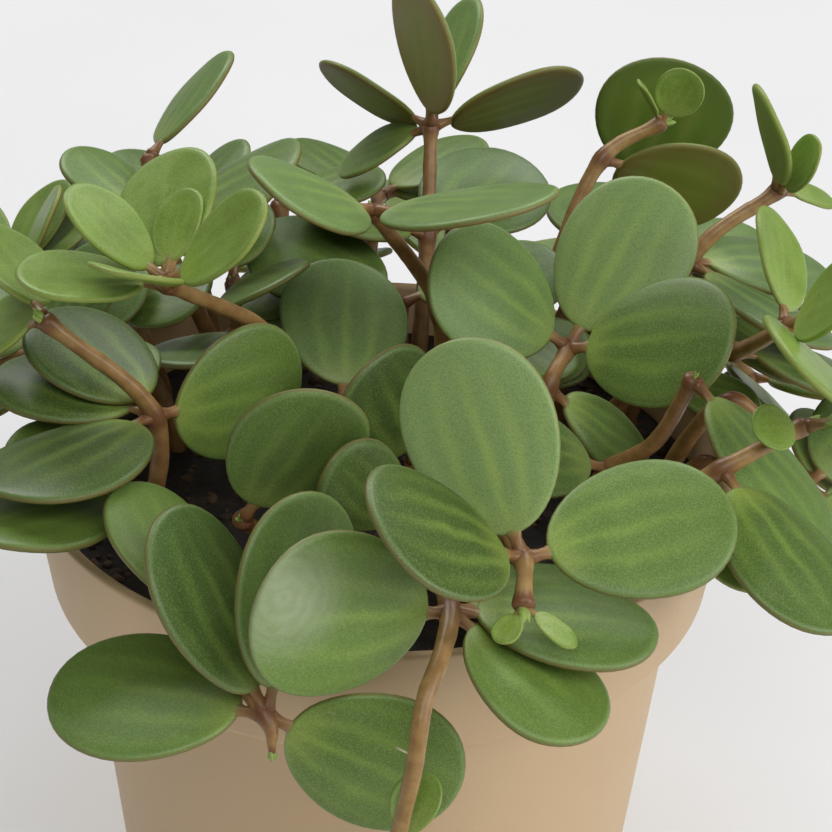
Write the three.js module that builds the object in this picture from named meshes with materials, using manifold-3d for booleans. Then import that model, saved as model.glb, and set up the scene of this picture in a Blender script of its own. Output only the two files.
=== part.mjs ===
// A small trailing houseplant with thick round leaves, planted in a plain tapered pot.
// Millimetres, Z up, the pot standing on z = 0 with its axis on the Z axis.
// Headings are degrees in plan: 0 is to the right, 90 is to the rear, 270 is to the front.
import * as THREE from 'three';
import { mergeVertices } from 'three/addons/utils/BufferGeometryUtils.js';
import Module from 'manifold-3d';

const wasm = await Module();
wasm.setup();
const { Manifold, Mesh } = wasm;

// Pot
const POT_HEIGHT = 92;
const FOOT_RADIUS = 38.8;
const STEP_HEIGHT = 73.4;
const BODY_TOP_RADIUS = 45.8;
const COLLAR_LOW_RADIUS = 50;
const RIM_RADIUS = 52.5;
const WALL = 1.8;
const FLOOR = 2.4;
const RIM_ROUND = 0.7;
const POT_SIDES = 40;

// Soil
const SOIL_TOP = 84;
const SOIL_GAP = 0.35;
const SOIL_SIDES = 24;
const SOIL_RINGS = 4;
const SOIL_LUMP = 0.8;
const HOLE_RADIUS = 2.45;
const HOLE_SIDES = 6;
const HOLE_DEPTH_SPARE = 0.4;

// Stems
const STEM_FOOT = 77;
const STEM_CLEAR = 88;
const STEM_RADIUS = 1.8;
const STEM_TAPER = 0.3;
const STEM_SIDES = 5;
const STEM_STEP = 2;
const RING_STEP = 8;
const NODE_SWELL = 0.35;

// Leaves
const LEAF_STALK = 2.8;
const YOUNG_STALK_SHARE = 0.55;
const YOUNG_LENGTH = 10;
const LOOSE_SCRAP = 0.5;
const STALK_HALF = 0.8;
const STALK_TIP = 0.6;
const BLADE_SHAPE = 0.12;
const BLADE_POINTS = 9;
const BLADE_THICK = 1.5;
const BLADE_EDGE = 0.9;
const DOME = 0.05;
const DOME_YOUNG = 0.11;
const DROOP = 0.05;
const DROOP_YOUNG = 0.04;

// Room that a leaf keeps to its neighbours, to the pot and to the surface the pot stands on
const LEAF_GAP = 2;
const LEAF_MARGIN = 0.6;
const POT_GAP = 0.9;
const FLOOR_GAP = 8;
const STEM_GAP = 0.5;
const STEM_LIFT_GAP = 1.2;
const OWN_STEM_REACH = 6;
const MATE_GAP = 0.8;
const MATE_MARGIN = 0.2;
const MATE_SKIP = 3;
const STEM_PIERCE_GAP = 0.3;
const SOIL_ROOM_RADIUS = 49;
const SOIL_ROOM = 1.5;
const SAME_NODE = 0.01;
const FEWEST_WAYS = 3;

// Leafy stems in the order they are planted. A path is the stem's points above the soil, and a whorl
// grows at one of them. A leaf is [heading, pitch, roll, length, width]. "young" runs from 0 for a
// grown leaf to 1 for a bud, and "extra" leaves are added to the whorl by rule where there is room.
const SHOOTS = [
  {
    name: 'front',
    root: [5, -34],
    path: [[8, -46, 101], [10, -57, 103], [9, -65, 102], [7, -71, 99], [6, -75, 92], [4, -77, 81]],
    whorls: [
      { at: 1, young: 0, extra: 0, leaves: [
        [210, 15, -80, 26, 23], [330, -20, -5, 22, 20], [30, -10, 0, 25, 21],
        [5, -5, 0, 25, 19],
      ] },
      { at: 5, young: 1, extra: 0, leaves: [
        [60, 40, 0, 9, 7], [190, -10, 0, 13, 10], [320, 0, 0, 14, 11],
      ] },
    ],
  },
  {
    name: 'front_right',
    root: [16, -29],
    path: [[17, -41, 104], [19, -55, 110], [19, -62, 108]],
    whorls: [
      { at: 1, young: 0.2, extra: 0, leaves: [
        [135, 60, -55, 27, 21], [15, 10, 25, 26, 21], [215, 35, -25, 25, 21],
      ] },
      { at: 2, young: 1, extra: 0, leaves: [[240, -20, 0, 5, 4], [330, -25, 0, 7, 4]] },
    ],
  },
  {
    name: 'front_left',
    root: [-15, -37],
    path: [[-17, -46, 99], [-21, -54, 97], [-13, -64, 91], [-12, -67, 88]],
    whorls: [
      { at: 1, young: 0.1, extra: 0, leaves: [[120, 30, 30, 21, 20]] },
      { at: 2, young: 0.1, extra: 0, leaves: [
        [165, 0, -10, 27, 23], [355, -25, 85, 25, 22], [135, 55, 20, 27, 21],
        [65, 55, 70, 27, 22],
      ] },
    ],
  },
  {
    name: 'inner_left',
    root: [-13, -24],
    path: [[-18, -36, 102]],
    whorls: [
      { at: 0, young: 0.1, extra: 0, leaves: [[344, 58, 119, 23, 19]] },
    ],
  },
  {
    name: 'inner',
    root: [-6, 1],
    path: [[-6, 1, 98]],
    whorls: [
      { at: 0, young: 0, extra: 0, leaves: [[90, 35, 15, 23, 21]] },
    ],
  },
  {
    name: 'inner_front',
    root: [5, -10],
    path: [[5, -8, 94]],
    whorls: [
      { at: 0, young: 0, extra: 0, leaves: [[229, 67, -98, 20, 18]] },
    ],
  },
  {
    name: 'inner_rear',
    root: [3, 17],
    path: [[2, 22, 104]],
    whorls: [
      { at: 0, young: 0, extra: 3, leaves: [[152, 15, -13, 25, 20]] },
    ],
  },
  {
    name: 'inner_low',
    root: [5, -24],
    path: [[4, -32, 99]],
    whorls: [
      { at: 0, young: 0, extra: 0, leaves: [[231, 50, -101, 20, 13]] },
    ],
  },
  {
    name: 'crown',
    root: [8, 8],
    path: [[8, 9, 110], [-2, 6, 128]],
    whorls: [
      { at: 0, young: 0, extra: 1, leaves: [] },
      { at: 1, young: 0.3, extra: 0, leaves: [[231, 30, -19, 24, 18], [324, 22, -4, 29, 23]] },
    ],
  },
  {
    name: 'middle_right',
    root: [22, -5],
    path: [[24, -6, 106], [27, 1, 109]],
    whorls: [
      { at: 0, young: 0, extra: 0, leaves: [[12, -40, 30, 20, 12]] },
      { at: 1, young: 0.1, extra: 0, leaves: [
        [182, 40, -35, 23, 22], [45, 50, 12, 26, 22], [326, 24, 45, 26, 21],
      ] },
    ],
  },
  {
    name: 'upper_left',
    root: [-18, 2],
    path: [[-18, 0, 100], [-17, -4, 113], [-29, -20, 129]],
    whorls: [
      { at: 2, young: 0.8, extra: 0, leaves: [
        [95, 25, -30, 21, 17], [160, 40, 0, 16, 12], [83, 38, -30, 12, 9],
        [335, 45, 35, 19, 13], [195, 10, 0, 18, 15], [251, 32, 0, 15, 13],
      ] },
    ],
  },
  {
    name: 'left',
    root: [-33, -19],
    path: [[-31, -23, 110], [-45, -24, 125]],
    whorls: [
      { at: 0, young: 0, extra: 0, leaves: [
        [155, 5, 0, 23, 18], [135, 20, 5, 22, 19], [230, 5, 10, 27, 24],
        [37, -7, 89, 23, 22],
      ] },
      { at: 1, young: 0.7, extra: 0, leaves: [[122, 18, 30, 19, 16], [137, -27, -32, 17, 13]] },
    ],
  },
  {
    name: 'left_low',
    root: [-27, -31],
    path: [[-34, -31, 102]],
    whorls: [
      { at: 0, young: 0, extra: 2, leaves: [[225, 15, 10, 25, 23]] },
    ],
  },
  {
    name: 'rear',
    root: [5, 27],
    path: [[6, 38, 108], [6, 47, 123]],
    whorls: [
      { at: 0, young: 0, extra: 3, leaves: [] },
      { at: 1, young: 0.4, extra: 0, leaves: [
        [255, 75, -39, 26, 17], [20, 12, -50, 24, 20], [140, 8, 50, 21, 16],
        [153, -31, -15, 17, 14], [75, 39, -44, 22, 14],
      ] },
    ],
  },
  {
    name: 'rear_right',
    root: [26, 34],
    path: [[34, 44, 106], [39, 49, 112]],
    whorls: [
      { at: 1, young: 0, extra: 0, leaves: [[19, 72, -101, 21, 24]] },
    ],
  },
  {
    name: 'upper_right',
    root: [22, 25],
    path: [[27, 31, 110], [33, 37, 123], [42, 40, 128]],
    whorls: [
      { at: 1, young: 0.4, extra: 0, leaves: [[20, -25, -65, 23, 20]] },
      { at: 2, young: 1, extra: 0, leaves: [[338, 66, 96, 9, 8], [190, 60, 0, 7, 6]] },
    ],
  },
  {
    name: 'right_rear',
    root: [35, 12],
    path: [[45, 14, 117], [58, 19, 127]],
    whorls: [
      { at: 0, young: 0, extra: 1, leaves: [[29, -11, 4, 24, 20]] },
      { at: 1, young: 0.8, extra: 0, leaves: [
        [243, 61, -47, 20, 13], [287, 47, 79, 14, 8], [43, -22, 17, 12, 7],
      ] },
    ],
  },
  {
    name: 'right',
    root: [32, 9],
    path: [[40, 8, 101], [47, 5, 107], [51, -2, 111], [55, -18, 124]],
    whorls: [
      { at: 0, young: 0, extra: 2, leaves: [] },
      { at: 2, young: 0, extra: 1, leaves: [[25, -20, 0, 22, 19]] },
      { at: 3, young: 0.8, extra: 0, leaves: [
        [90, 25, 50, 18, 13], [300, 45, 50, 17, 13], [275, 10, -40, 23, 18],
      ] },
    ],
  },
  {
    name: 'right_low',
    root: [30, -11],
    path: [[33, -13, 97], [39, -16, 104], [43, -19, 116]],
    whorls: [
      { at: 0, young: 0, extra: 2, leaves: [] },
      { at: 2, young: 0, extra: 0, leaves: [[325, -35, -10, 28, 19]] },
    ],
  },
  {
    name: 'right_front',
    root: [31, -28],
    path: [[36, -31, 101], [46, -34, 111], [57, -29, 115]],
    whorls: [
      { at: 1, young: 0.1, extra: 0, leaves: [[305, -20, -15, 26, 22]] },
      { at: 2, young: 1, extra: 0, leaves: [[215, 15, -40, 8, 7], [340, 25, 0, 12, 8]] },
    ],
  },
  {
    name: 'rear_left',
    root: [-26, 27],
    path: [[-36, 28, 114], [-38, 36, 121]],
    whorls: [
      { at: 0, young: 0, extra: 0, leaves: [[345, 35, 10, 25, 22], [135, 20, 15, 18, 16]] },
      { at: 1, young: 0.3, extra: 0, leaves: [[60, 30, -35, 21, 15]] },
    ],
  },
];

// Stems that arch over the rim, and short ones that fill the middle:
// [heading, root radius, tip radius, tip height, arch, whorls]
const OUTER_STEMS = [
  [180, 40, 64, 96, 12, 2],
  [164, 33, 64, 104, 10, 2],
  [149, 41, 66, 88, 18, 2],
  [131, 42, 60, 104, 8, 2],
  [113, 41, 66, 86, 20, 2],
  [95, 42, 60, 104, 8, 2],
  [77, 42, 66, 86, 20, 2],
  [60, 44, 64, 96, 12, 2],
  [41, 36, 62, 102, 10, 2],
  [24, 42, 66, 88, 18, 2],
  [357, 42, 63, 92, 14, 2],
  [341, 41, 60, 99, 8, 2],
  [203, 40, 62, 99, 8, 2],
];
const INNER_STEMS = [
  [140, 30, 31, 108, 2, 2],
  [45, 17, 19, 108, 2, 2],
];
const SEED = 20314;
const LOW_WHORL_LEAVES = 4;
const TIP_WHORL_LEAVES = 5;
const STEM_TURN = 8;
const STEM_SPREAD_POWER = 1.2;
const OLD_TIP = 0.15;
const YOUNG_TIP = 0.55;

// Leaves added by rule
const TRIALS = 14;
const TRIAL_TURN = 11;
const TRIAL_SHRINK = 0.02;
const HEADING_SPREAD = 25;
const SHORTEST = 20;
const LONGEST = 27;
const YOUNG_SHORTER = 5;
const NARROWEST = 0.78;
const WIDEST = 0.88;
const LEAN_RADIUS = 60;
const LEAN_MOST = 1.1;
const LEAN_SHARE = 0.5;
const LIGHT_SIDE = [0.1, -0.25];
const TILT_SPREAD = 0.25;
const LIFT_MOST = 22;
const YOUNG_LIFT = 22;

const radians = (degrees) => degrees * Math.PI / 180;
const add = (a, b) => [a[0] + b[0], a[1] + b[1], a[2] + b[2]];
const minus = (a, b) => [a[0] - b[0], a[1] - b[1], a[2] - b[2]];
const times = (a, f) => [a[0] * f, a[1] * f, a[2] * f];
const dot = (a, b) => a[0] * b[0] + a[1] * b[1] + a[2] * b[2];
const cross = (a, b) => [
  a[1] * b[2] - a[2] * b[1],
  a[2] * b[0] - a[0] * b[2],
  a[0] * b[1] - a[1] * b[0],
];
const size = (a) => Math.sqrt(dot(a, a));
const unit = (a) => times(a, 1 / size(a));
const apart = (a, b) => size(minus(a, b));

const DRAW_STEP = 16807;
const DRAW_RANGE = 2147483647;

// A repeatable series of draws between two bounds.
class Draws {
  constructor(seed) {
    this.state = seed;
  }

  between(low, high) {
    this.state = (this.state * DRAW_STEP) % DRAW_RANGE;
    return low + (high - low) * this.state / DRAW_RANGE;
  }
}

// Outside radius of the pot at a height: the tapered body, then the collar round the rim.
function outerRadius(height) {
  if (height > STEP_HEIGHT) {
    const climb = (height - STEP_HEIGHT) / (POT_HEIGHT - STEP_HEIGHT);
    return COLLAR_LOW_RADIUS + (RIM_RADIUS - COLLAR_LOW_RADIUS) * climb;
  }
  return FOOT_RADIUS + (BODY_TOP_RADIUS - FOOT_RADIUS) * height / STEP_HEIGHT;
}

// Inside of the pot from the rim down to the axis, drawn in by a gap.
function innerProfile(gap) {
  const shelf = STEP_HEIGHT + WALL;
  const underShelf = STEP_HEIGHT - WALL / 2;
  return {
    rim: [outerRadius(POT_HEIGHT) - WALL - gap, POT_HEIGHT],
    collar: [outerRadius(shelf) - WALL - gap, shelf + gap],
    neck: [outerRadius(underShelf) - WALL - gap, underShelf + gap],
    floorEdge: [outerRadius(FLOOR) - WALL - gap, FLOOR + gap],
    centre: [0, FLOOR + gap],
  };
}

// A lathe profile of [radius, height] pairs, turned about the Z axis.
function turned(profile, sides) {
  const points = profile.map(([radius, height]) => new THREE.Vector2(radius, height));
  const geometry = new THREE.LatheGeometry(points, sides);
  geometry.rotateX(Math.PI / 2);
  return geometry;
}

// Points closer than this are one point.
const SAME_POINT = 1e-4;

function solidOf(geometry) {
  const bare = geometry.clone();
  bare.deleteAttribute('normal');
  bare.deleteAttribute('uv');
  const merged = mergeVertices(bare, SAME_POINT);
  const corners = merged.index.array;
  const triangles = [];
  for (let i = 0; i < corners.length; i += 3) {
    const [a, b, c] = [corners[i], corners[i + 1], corners[i + 2]];
    if (a !== b && b !== c && c !== a) {
      triangles.push(a, b, c);
    }
  }
  const vertProperties = new Float32Array(merged.attributes.position.array);
  return new Manifold(new Mesh({ numProp: 3, vertProperties, triVerts: new Uint32Array(triangles) }));
}

function geometryOf(solid) {
  const mesh = solid.getMesh();
  const geometry = new THREE.BufferGeometry();
  geometry.setAttribute('position', new THREE.BufferAttribute(mesh.vertProperties.slice(), 3));
  geometry.setIndex(new THREE.BufferAttribute(mesh.triVerts.slice(), 1));
  geometry.computeVertexNormals();
  return geometry;
}

function closedBody(points, index) {
  const geometry = new THREE.BufferGeometry();
  geometry.setAttribute('position', new THREE.Float32BufferAttribute(points.flat(), 3));
  geometry.setIndex(index);
  return geometry;
}

// A closed body through rings of points, with a fan to a centre point at each end.
// Seen from the last centre, each ring runs anticlockwise.
function loft(firstCentre, rings, lastCentre) {
  const count = rings[0].length;
  const points = [firstCentre, ...rings.flat(), lastCentre];
  const last = points.length - 1;
  const topRing = last - count;
  const index = [];
  for (let i = 0; i < count; i += 1) {
    const j = (i + 1) % count;
    index.push(0, 1 + j, 1 + i);
    for (let ring = 0; ring < rings.length - 1; ring += 1) {
      const low = 1 + ring * count;
      const high = low + count;
      index.push(low + i, low + j, high + j);
      index.push(low + i, high + j, high + i);
    }
    index.push(last, topRing + i, topRing + j);
  }
  return closedBody(points, index);
}

const RIM_STEPS = 4;

function potGeometry() {
  const inside = innerProfile(0);
  const rim = [];
  for (let i = 0; i <= RIM_STEPS; i += 1) {
    const turn = i / RIM_STEPS * Math.PI;
    const across = (WALL / 2) * Math.cos(turn);
    rim.push([RIM_RADIUS - WALL / 2 + across, POT_HEIGHT - RIM_ROUND * (1 - Math.sin(turn))]);
  }
  return turned([
    [0, 0],
    [FOOT_RADIUS - RIM_ROUND, 0],
    [FOOT_RADIUS, RIM_ROUND],
    [BODY_TOP_RADIUS, STEP_HEIGHT],
    [COLLAR_LOW_RADIUS - RIM_ROUND, STEP_HEIGHT],
    [COLLAR_LOW_RADIUS, STEP_HEIGHT + RIM_ROUND],
    ...rim,
    inside.collar,
    inside.neck,
    inside.floorEdge,
    inside.centre,
  ], POT_SIDES);
}

// The soil's lumps are two waves over the plan: how fast each one turns along x and y, and its start.
const BROAD_WAVE = { x: 0.21, startX: 1.3, y: 0.17, startY: -0.4 };
const FINE_WAVE = { x: 0.47, y: -0.39, start: 0.8, share: 0.5 };
const SOIL_TOP_REACH = 0.1;
const SOIL_LEVEL_BAND = 1;

// Height of the soil's low lumps over a place in plan.
function soilLumps(x, y) {
  const alongX = Math.sin(x * BROAD_WAVE.x + BROAD_WAVE.startX);
  const alongY = Math.cos(y * BROAD_WAVE.y + BROAD_WAVE.startY);
  const fine = Math.sin(x * FINE_WAVE.x + y * FINE_WAVE.y + FINE_WAVE.start);
  return SOIL_LUMP * (alongX * alongY + FINE_WAVE.share * fine);
}

function soilSolid(stems) {
  const inside = innerProfile(SOIL_GAP);
  const edge = outerRadius(SOIL_TOP) - WALL - SOIL_GAP;
  const profile = [inside.centre, inside.floorEdge, inside.neck, inside.collar, [edge, SOIL_TOP]];
  for (let ring = 1; ring <= SOIL_RINGS; ring += 1) {
    profile.push([edge * (1 - ring / SOIL_RINGS), SOIL_TOP]);
  }
  const geometry = turned(profile, SOIL_SIDES);
  const place = geometry.attributes.position;
  for (let i = 0; i < place.count; i += 1) {
    const radius = Math.hypot(place.getX(i), place.getY(i));
    if (place.getZ(i) > SOIL_TOP - SOIL_TOP_REACH && radius < edge - SOIL_LEVEL_BAND) {
      place.setZ(i, SOIL_TOP + soilLumps(place.getX(i), place.getY(i)));
    }
  }
  const holeFoot = STEM_FOOT - HOLE_DEPTH_SPARE;
  const holeHeight = STEM_CLEAR - holeFoot;
  const holes = stems.map((stem) => {
    const hole = new THREE.CylinderGeometry(HOLE_RADIUS, HOLE_RADIUS, holeHeight, HOLE_SIDES);
    hole.rotateX(Math.PI / 2);
    hole.translate(stem.shoot.root[0], stem.shoot.root[1], holeFoot + holeHeight / 2);
    return solidOf(hole);
  });
  return solidOf(geometry).subtract(Manifold.union(holes));
}

// A leaf's own axes: d runs from base to tip, s across the blade, n out of its upper face.
function leafAxes(heading, pitch, roll) {
  const [h, p, r] = [radians(heading), radians(pitch), radians(roll)];
  const d = [Math.cos(p) * Math.cos(h), Math.cos(p) * Math.sin(h), Math.sin(p)];
  const level = [-Math.sin(h), Math.cos(h), 0];
  const upper = cross(d, level);
  const s = add(times(level, Math.cos(r)), times(upper, Math.sin(r)));
  const n = minus(times(upper, Math.cos(r)), times(level, Math.sin(r)));
  return { d, s, n };
}

function makeLeaf(node, axes, length, width, young) {
  const stalk = LEAF_STALK * (length < YOUNG_LENGTH ? YOUNG_STALK_SHARE : 1);
  const base = add(node, times(axes.d, stalk));
  return { node, base, ...axes, length, width, young };
}

// How far the blade's mid surface bends off its plane: its sides roll down and its tip droops.
// A young leaf's sides turn up instead.
function bend(leaf, u, v) {
  const dome = DOME - DOME_YOUNG * leaf.young;
  const droop = DROOP - DROOP_YOUNG * leaf.young;
  const across = 2 * v / leaf.width;
  const along = u / leaf.length;
  return -dome * leaf.width * across * across - droop * leaf.length * along * along;
}

function leafPoint(leaf, u, v, lift = 0) {
  const rise = bend(leaf, u, v) + lift;
  const flat = add(times(leaf.d, u), times(leaf.s, v));
  return add(leaf.base, add(flat, times(leaf.n, rise)));
}

// A place on the blade's outline, or on a smaller one inside it. Turn 0 is the base.
function outline(leaf, turn, share = 1) {
  const u = leaf.length / 2 * (1 - share * Math.cos(turn));
  const v = leaf.width / 2 * share * Math.sin(turn) * (1 - BLADE_SHAPE * Math.cos(turn));
  return [u, v];
}

const RIM_TESTS = 16;
const INNER_TESTS = 8;
const INNER_SHARE = 0.6;

function testPoints(leaf) {
  const points = [];
  for (const [share, count] of [[1, RIM_TESTS], [INNER_SHARE, INNER_TESTS]]) {
    for (let i = 0; i < count; i += 1) {
      points.push(leafPoint(leaf, ...outline(leaf, 2 * Math.PI * i / count, share)));
    }
  }
  points.push(leafPoint(leaf, leaf.length / 2, 0));
  return points;
}

const clamp = (value, low, high) => Math.min(Math.max(value, low), high);

function inLeaf(leaf, point) {
  const reach = minus(point, leaf.base);
  const u = dot(reach, leaf.d);
  const v = dot(reach, leaf.s);
  const half = leaf.width / 2;
  const height = dot(reach, leaf.n) - bend(leaf, clamp(u, 0, leaf.length), clamp(v, -half, half));
  return { u, v, height };
}

function within(leaf, u, v, margin) {
  const t = (u - leaf.length / 2) / (leaf.length / 2 + margin);
  if (Math.abs(t) >= 1) {
    return false;
  }
  return Math.abs(v) < (leaf.width / 2 + margin) * Math.sqrt(1 - t * t) * (1 + BLADE_SHAPE * t);
}

function nearBlade(leaf, point, margin, gap) {
  const at = inLeaf(leaf, point);
  return Math.abs(at.height) <= gap && within(leaf, at.u, at.v, margin);
}

function pierces(leaf, from, to, margin) {
  const a = inLeaf(leaf, from);
  const b = inLeaf(leaf, to);
  if ((a.height > 0) === (b.height > 0)) {
    return false;
  }
  const share = a.height / (a.height - b.height);
  return within(leaf, a.u + (b.u - a.u) * share, a.v + (b.v - a.v) * share, margin);
}

function bladesClash(first, second) {
  const middles = apart(first.tests.at(-1), second.tests.at(-1));
  if (middles > (first.length + second.length) / 2 + LEAF_GAP) {
    return false;
  }
  for (const [one, other] of [[first, second], [second, first]]) {
    const middle = one.tests.at(-1);
    if (one.tests.some((point) => nearBlade(other, point, LEAF_MARGIN, LEAF_GAP))) {
      return true;
    }
    for (let i = 0; i < RIM_TESTS; i += 1) {
      const next = one.tests[(i + 1) % RIM_TESTS];
      if (pierces(other, one.tests[i], next, LEAF_MARGIN)) {
        return true;
      }
      if (pierces(other, one.tests[i], middle, LEAF_MARGIN)) {
        return true;
      }
    }
  }
  return false;
}

// Leaves of one whorl share their base, so only the stretch past it is tested.
function matesClash(first, second) {
  const [from, to] = [MATE_SKIP, RIM_TESTS - MATE_SKIP];
  for (const [one, other] of [[first, second], [second, first]]) {
    for (let i = from; i <= to; i += 1) {
      if (nearBlade(other, one.tests[i], MATE_MARGIN, MATE_GAP)) {
        return true;
      }
      if (i < to && pierces(other, one.tests[i], one.tests[i + 1], 0)) {
        return true;
      }
    }
  }
  return false;
}

function nearStem(leaf, stem, own) {
  for (let i = 0; i < stem.points.length; i += 1) {
    const point = stem.points[i];
    if (own && apart(point, leaf.node) < OWN_STEM_REACH) {
      continue;
    }
    const radius = stem.radii[i];
    if (nearBlade(leaf, point, radius + STEM_GAP, radius + STEM_LIFT_GAP)) {
      return true;
    }
    if (i > 0 && !(own && apart(stem.points[i - 1], leaf.node) < OWN_STEM_REACH)) {
      if (pierces(leaf, stem.points[i - 1], point, radius + STEM_PIERCE_GAP)) {
        return true;
      }
    }
  }
  return false;
}

function clearOfPot(point) {
  const radius = Math.hypot(point[0], point[1]);
  const above = point[2] > POT_HEIGHT + POT_GAP;
  const outside = radius > outerRadius(point[2]) + POT_GAP;
  const inside = radius < SOIL_ROOM_RADIUS - POT_GAP && point[2] > SOIL_TOP + SOIL_ROOM + POT_GAP;
  return above || outside || inside;
}

function leafIsFree(leaf, leaves, stems) {
  leaf.tests = testPoints(leaf);
  if (leaf.tests.some((point) => !clearOfPot(point) || point[2] < FLOOR_GAP)) {
    return false;
  }
  if (stems.some((stem) => nearStem(leaf, stem, stem.shoot === leaf.shoot))) {
    return false;
  }
  return !leaves.some((other) => {
    const mates = other.shoot === leaf.shoot && apart(other.node, leaf.node) < SAME_NODE;
    return mates ? matesClash(leaf, other) : bladesClash(leaf, other);
  });
}

// A stem added by rule: it leaves the soil at the root radius and arches out to its tip.
function ruledShoot(name, [heading, rootRadius, tipRadius, tipHeight, arch, count], draws) {
  const turn = radians(draws.between(-STEM_TURN, STEM_TURN));
  const path = [];
  const whorls = [];
  for (let j = 1; j <= count; j += 1) {
    const share = j / count;
    const angle = radians(heading) + turn * share;
    const radius = rootRadius + (tipRadius - rootRadius) * share ** STEM_SPREAD_POWER;
    const climb = STEM_CLEAR + (tipHeight - STEM_CLEAR) * share;
    path.push([
      radius * Math.cos(angle),
      radius * Math.sin(angle),
      climb + arch * 4 * share * (1 - share),
    ]);
    const bright = name.startsWith('outer') && draws.between(0, 1) > 0.5;
    whorls.push({
      at: j - 1,
      young: (bright ? YOUNG_TIP : OLD_TIP) * share,
      extra: j < count ? LOW_WHORL_LEAVES : TIP_WHORL_LEAVES,
      leaves: [],
    });
  }
  const root = [rootRadius * Math.cos(radians(heading)), rootRadius * Math.sin(radians(heading))];
  return { name, root, path, whorls };
}

function controlPoints(shoot) {
  const [x, y] = shoot.root;
  return [[x, y, STEM_FOOT], [x, y, STEM_CLEAR], ...shoot.path];
}

// Points along a stem, evenly split between each pair of its control points. The first span is
// straight, down in its hole in the soil.
function stemPoints(shoot, step) {
  const controls = controlPoints(shoot);
  const vectors = controls.map((point) => new THREE.Vector3(...point));
  const curve = new THREE.CatmullRomCurve3(vectors, false, 'catmullrom', 0.5);
  const spans = controls.length - 1;
  const points = [];
  for (let i = 0; i < spans; i += 1) {
    const count = Math.max(1, Math.floor(apart(controls[i], controls[i + 1]) / step + 0.5));
    for (let k = 0; k < count; k += 1) {
      const straight = add(controls[0], times(minus(controls[1], controls[0]), k / count));
      points.push(i === 0 ? straight : curve.getPoint((i + k / count) / spans).toArray());
    }
  }
  points.push(controls[spans]);
  return points;
}

const stemRadius = (share) => STEM_RADIUS * (1 - STEM_TAPER * share);

function makeStem(shoot) {
  const points = stemPoints(shoot, STEM_STEP);
  const radii = points.map((point, i) => stemRadius(i / (points.length - 1)));
  return { shoot, points, radii };
}

function ruledLeaf(node, whorl, heading, trial, draws) {
  const h = radians(heading);
  const length = (draws.between(SHORTEST, LONGEST) - YOUNG_SHORTER * whorl.young)
    * (1 - TRIAL_SHRINK * trial);
  const width = length * draws.between(NARROWEST, WIDEST);
  const radius = Math.hypot(node[0], node[1]);
  const lean = Math.min(radius / LEAN_RADIUS, LEAN_MOST) * LEAN_SHARE;
  const up = unit([
    node[0] / radius * lean + LIGHT_SIDE[0] + draws.between(-TILT_SPREAD, TILT_SPREAD),
    node[1] / radius * lean + LIGHT_SIDE[1] + draws.between(-TILT_SPREAD, TILT_SPREAD),
    1,
  ]);
  const ahead = [Math.cos(h), Math.sin(h), 0];
  const level = unit(minus(ahead, times(up, dot(ahead, up))));
  const lift = radians(draws.between(0, LIFT_MOST) + YOUNG_LIFT * whorl.young);
  const n = minus(times(up, Math.cos(lift)), times(level, Math.sin(lift)));
  const d = add(times(level, Math.cos(lift)), times(up, Math.sin(lift)));
  return makeLeaf(node, { d, s: cross(n, d), n }, length, width, whorl.young);
}

function growPlant() {
  const draws = new Draws(SEED);
  const shoots = [
    ...SHOOTS,
    ...OUTER_STEMS.map((row, i) => ruledShoot(`outer_${i + 1}`, row, draws)),
    ...INNER_STEMS.map((row, i) => ruledShoot(`inner_${i + 1}`, row, draws)),
  ];
  const stems = shoots.map(makeStem);
  const leaves = [];
  for (const shoot of shoots) {
    for (const whorl of shoot.whorls) {
      const node = shoot.path[whorl.at];
      for (const [heading, pitch, roll, length, width] of whorl.leaves) {
        const leaf = makeLeaf(node, leafAxes(heading, pitch, roll), length, width, whorl.young);
        leaf.shoot = shoot;
        leaf.tests = testPoints(leaf);
        leaves.push(leaf);
      }
    }
  }
  for (const shoot of shoots) {
    for (const whorl of shoot.whorls.filter(({ extra }) => extra > 0)) {
      const start = draws.between(0, 360);
      for (let j = 0; j < whorl.extra; j += 1) {
        for (let trial = 0; trial < TRIALS; trial += 1) {
          const heading = start + 360 * j / Math.max(whorl.extra, FEWEST_WAYS)
            + draws.between(-HEADING_SPREAD, HEADING_SPREAD) + trial * TRIAL_TURN;
          const leaf = ruledLeaf(shoot.path[whorl.at], whorl, heading, trial, draws);
          leaf.shoot = shoot;
          if (leafIsFree(leaf, leaves, stems)) {
            leaves.push(leaf);
            break;
          }
        }
      }
    }
  }
  return { stems, leaves };
}

// A round section about a point, square to a direction.
function ring(centre, side, up, radius, sides) {
  const points = [];
  for (let i = 0; i < sides; i += 1) {
    const turn = 2 * Math.PI * i / sides;
    const across = add(times(side, radius * Math.cos(turn)), times(up, radius * Math.sin(turn)));
    points.push(add(centre, across));
  }
  return points;
}

function stemSolid(shoot) {
  const points = stemPoints(shoot, RING_STEP);
  const nodes = shoot.whorls.map(({ at }) => shoot.path[at]);
  const rings = [];
  let side = [1, 0, 0];
  for (let i = 0; i < points.length; i += 1) {
    const before = points[Math.max(i - 1, 0)];
    const after = points[Math.min(i + 1, points.length - 1)];
    const along = unit(minus(after, before));
    side = unit(minus(side, times(along, dot(side, along))));
    const swell = nodes.some((node) => apart(node, points[i]) < SAME_NODE) ? NODE_SWELL : 0;
    const radius = stemRadius(i / (points.length - 1)) + swell;
    rings.push(ring(points[i], side, cross(along, side), radius, STEM_SIDES));
  }
  return solidOf(loft(points[0], rings, points.at(-1)));
}

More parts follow.
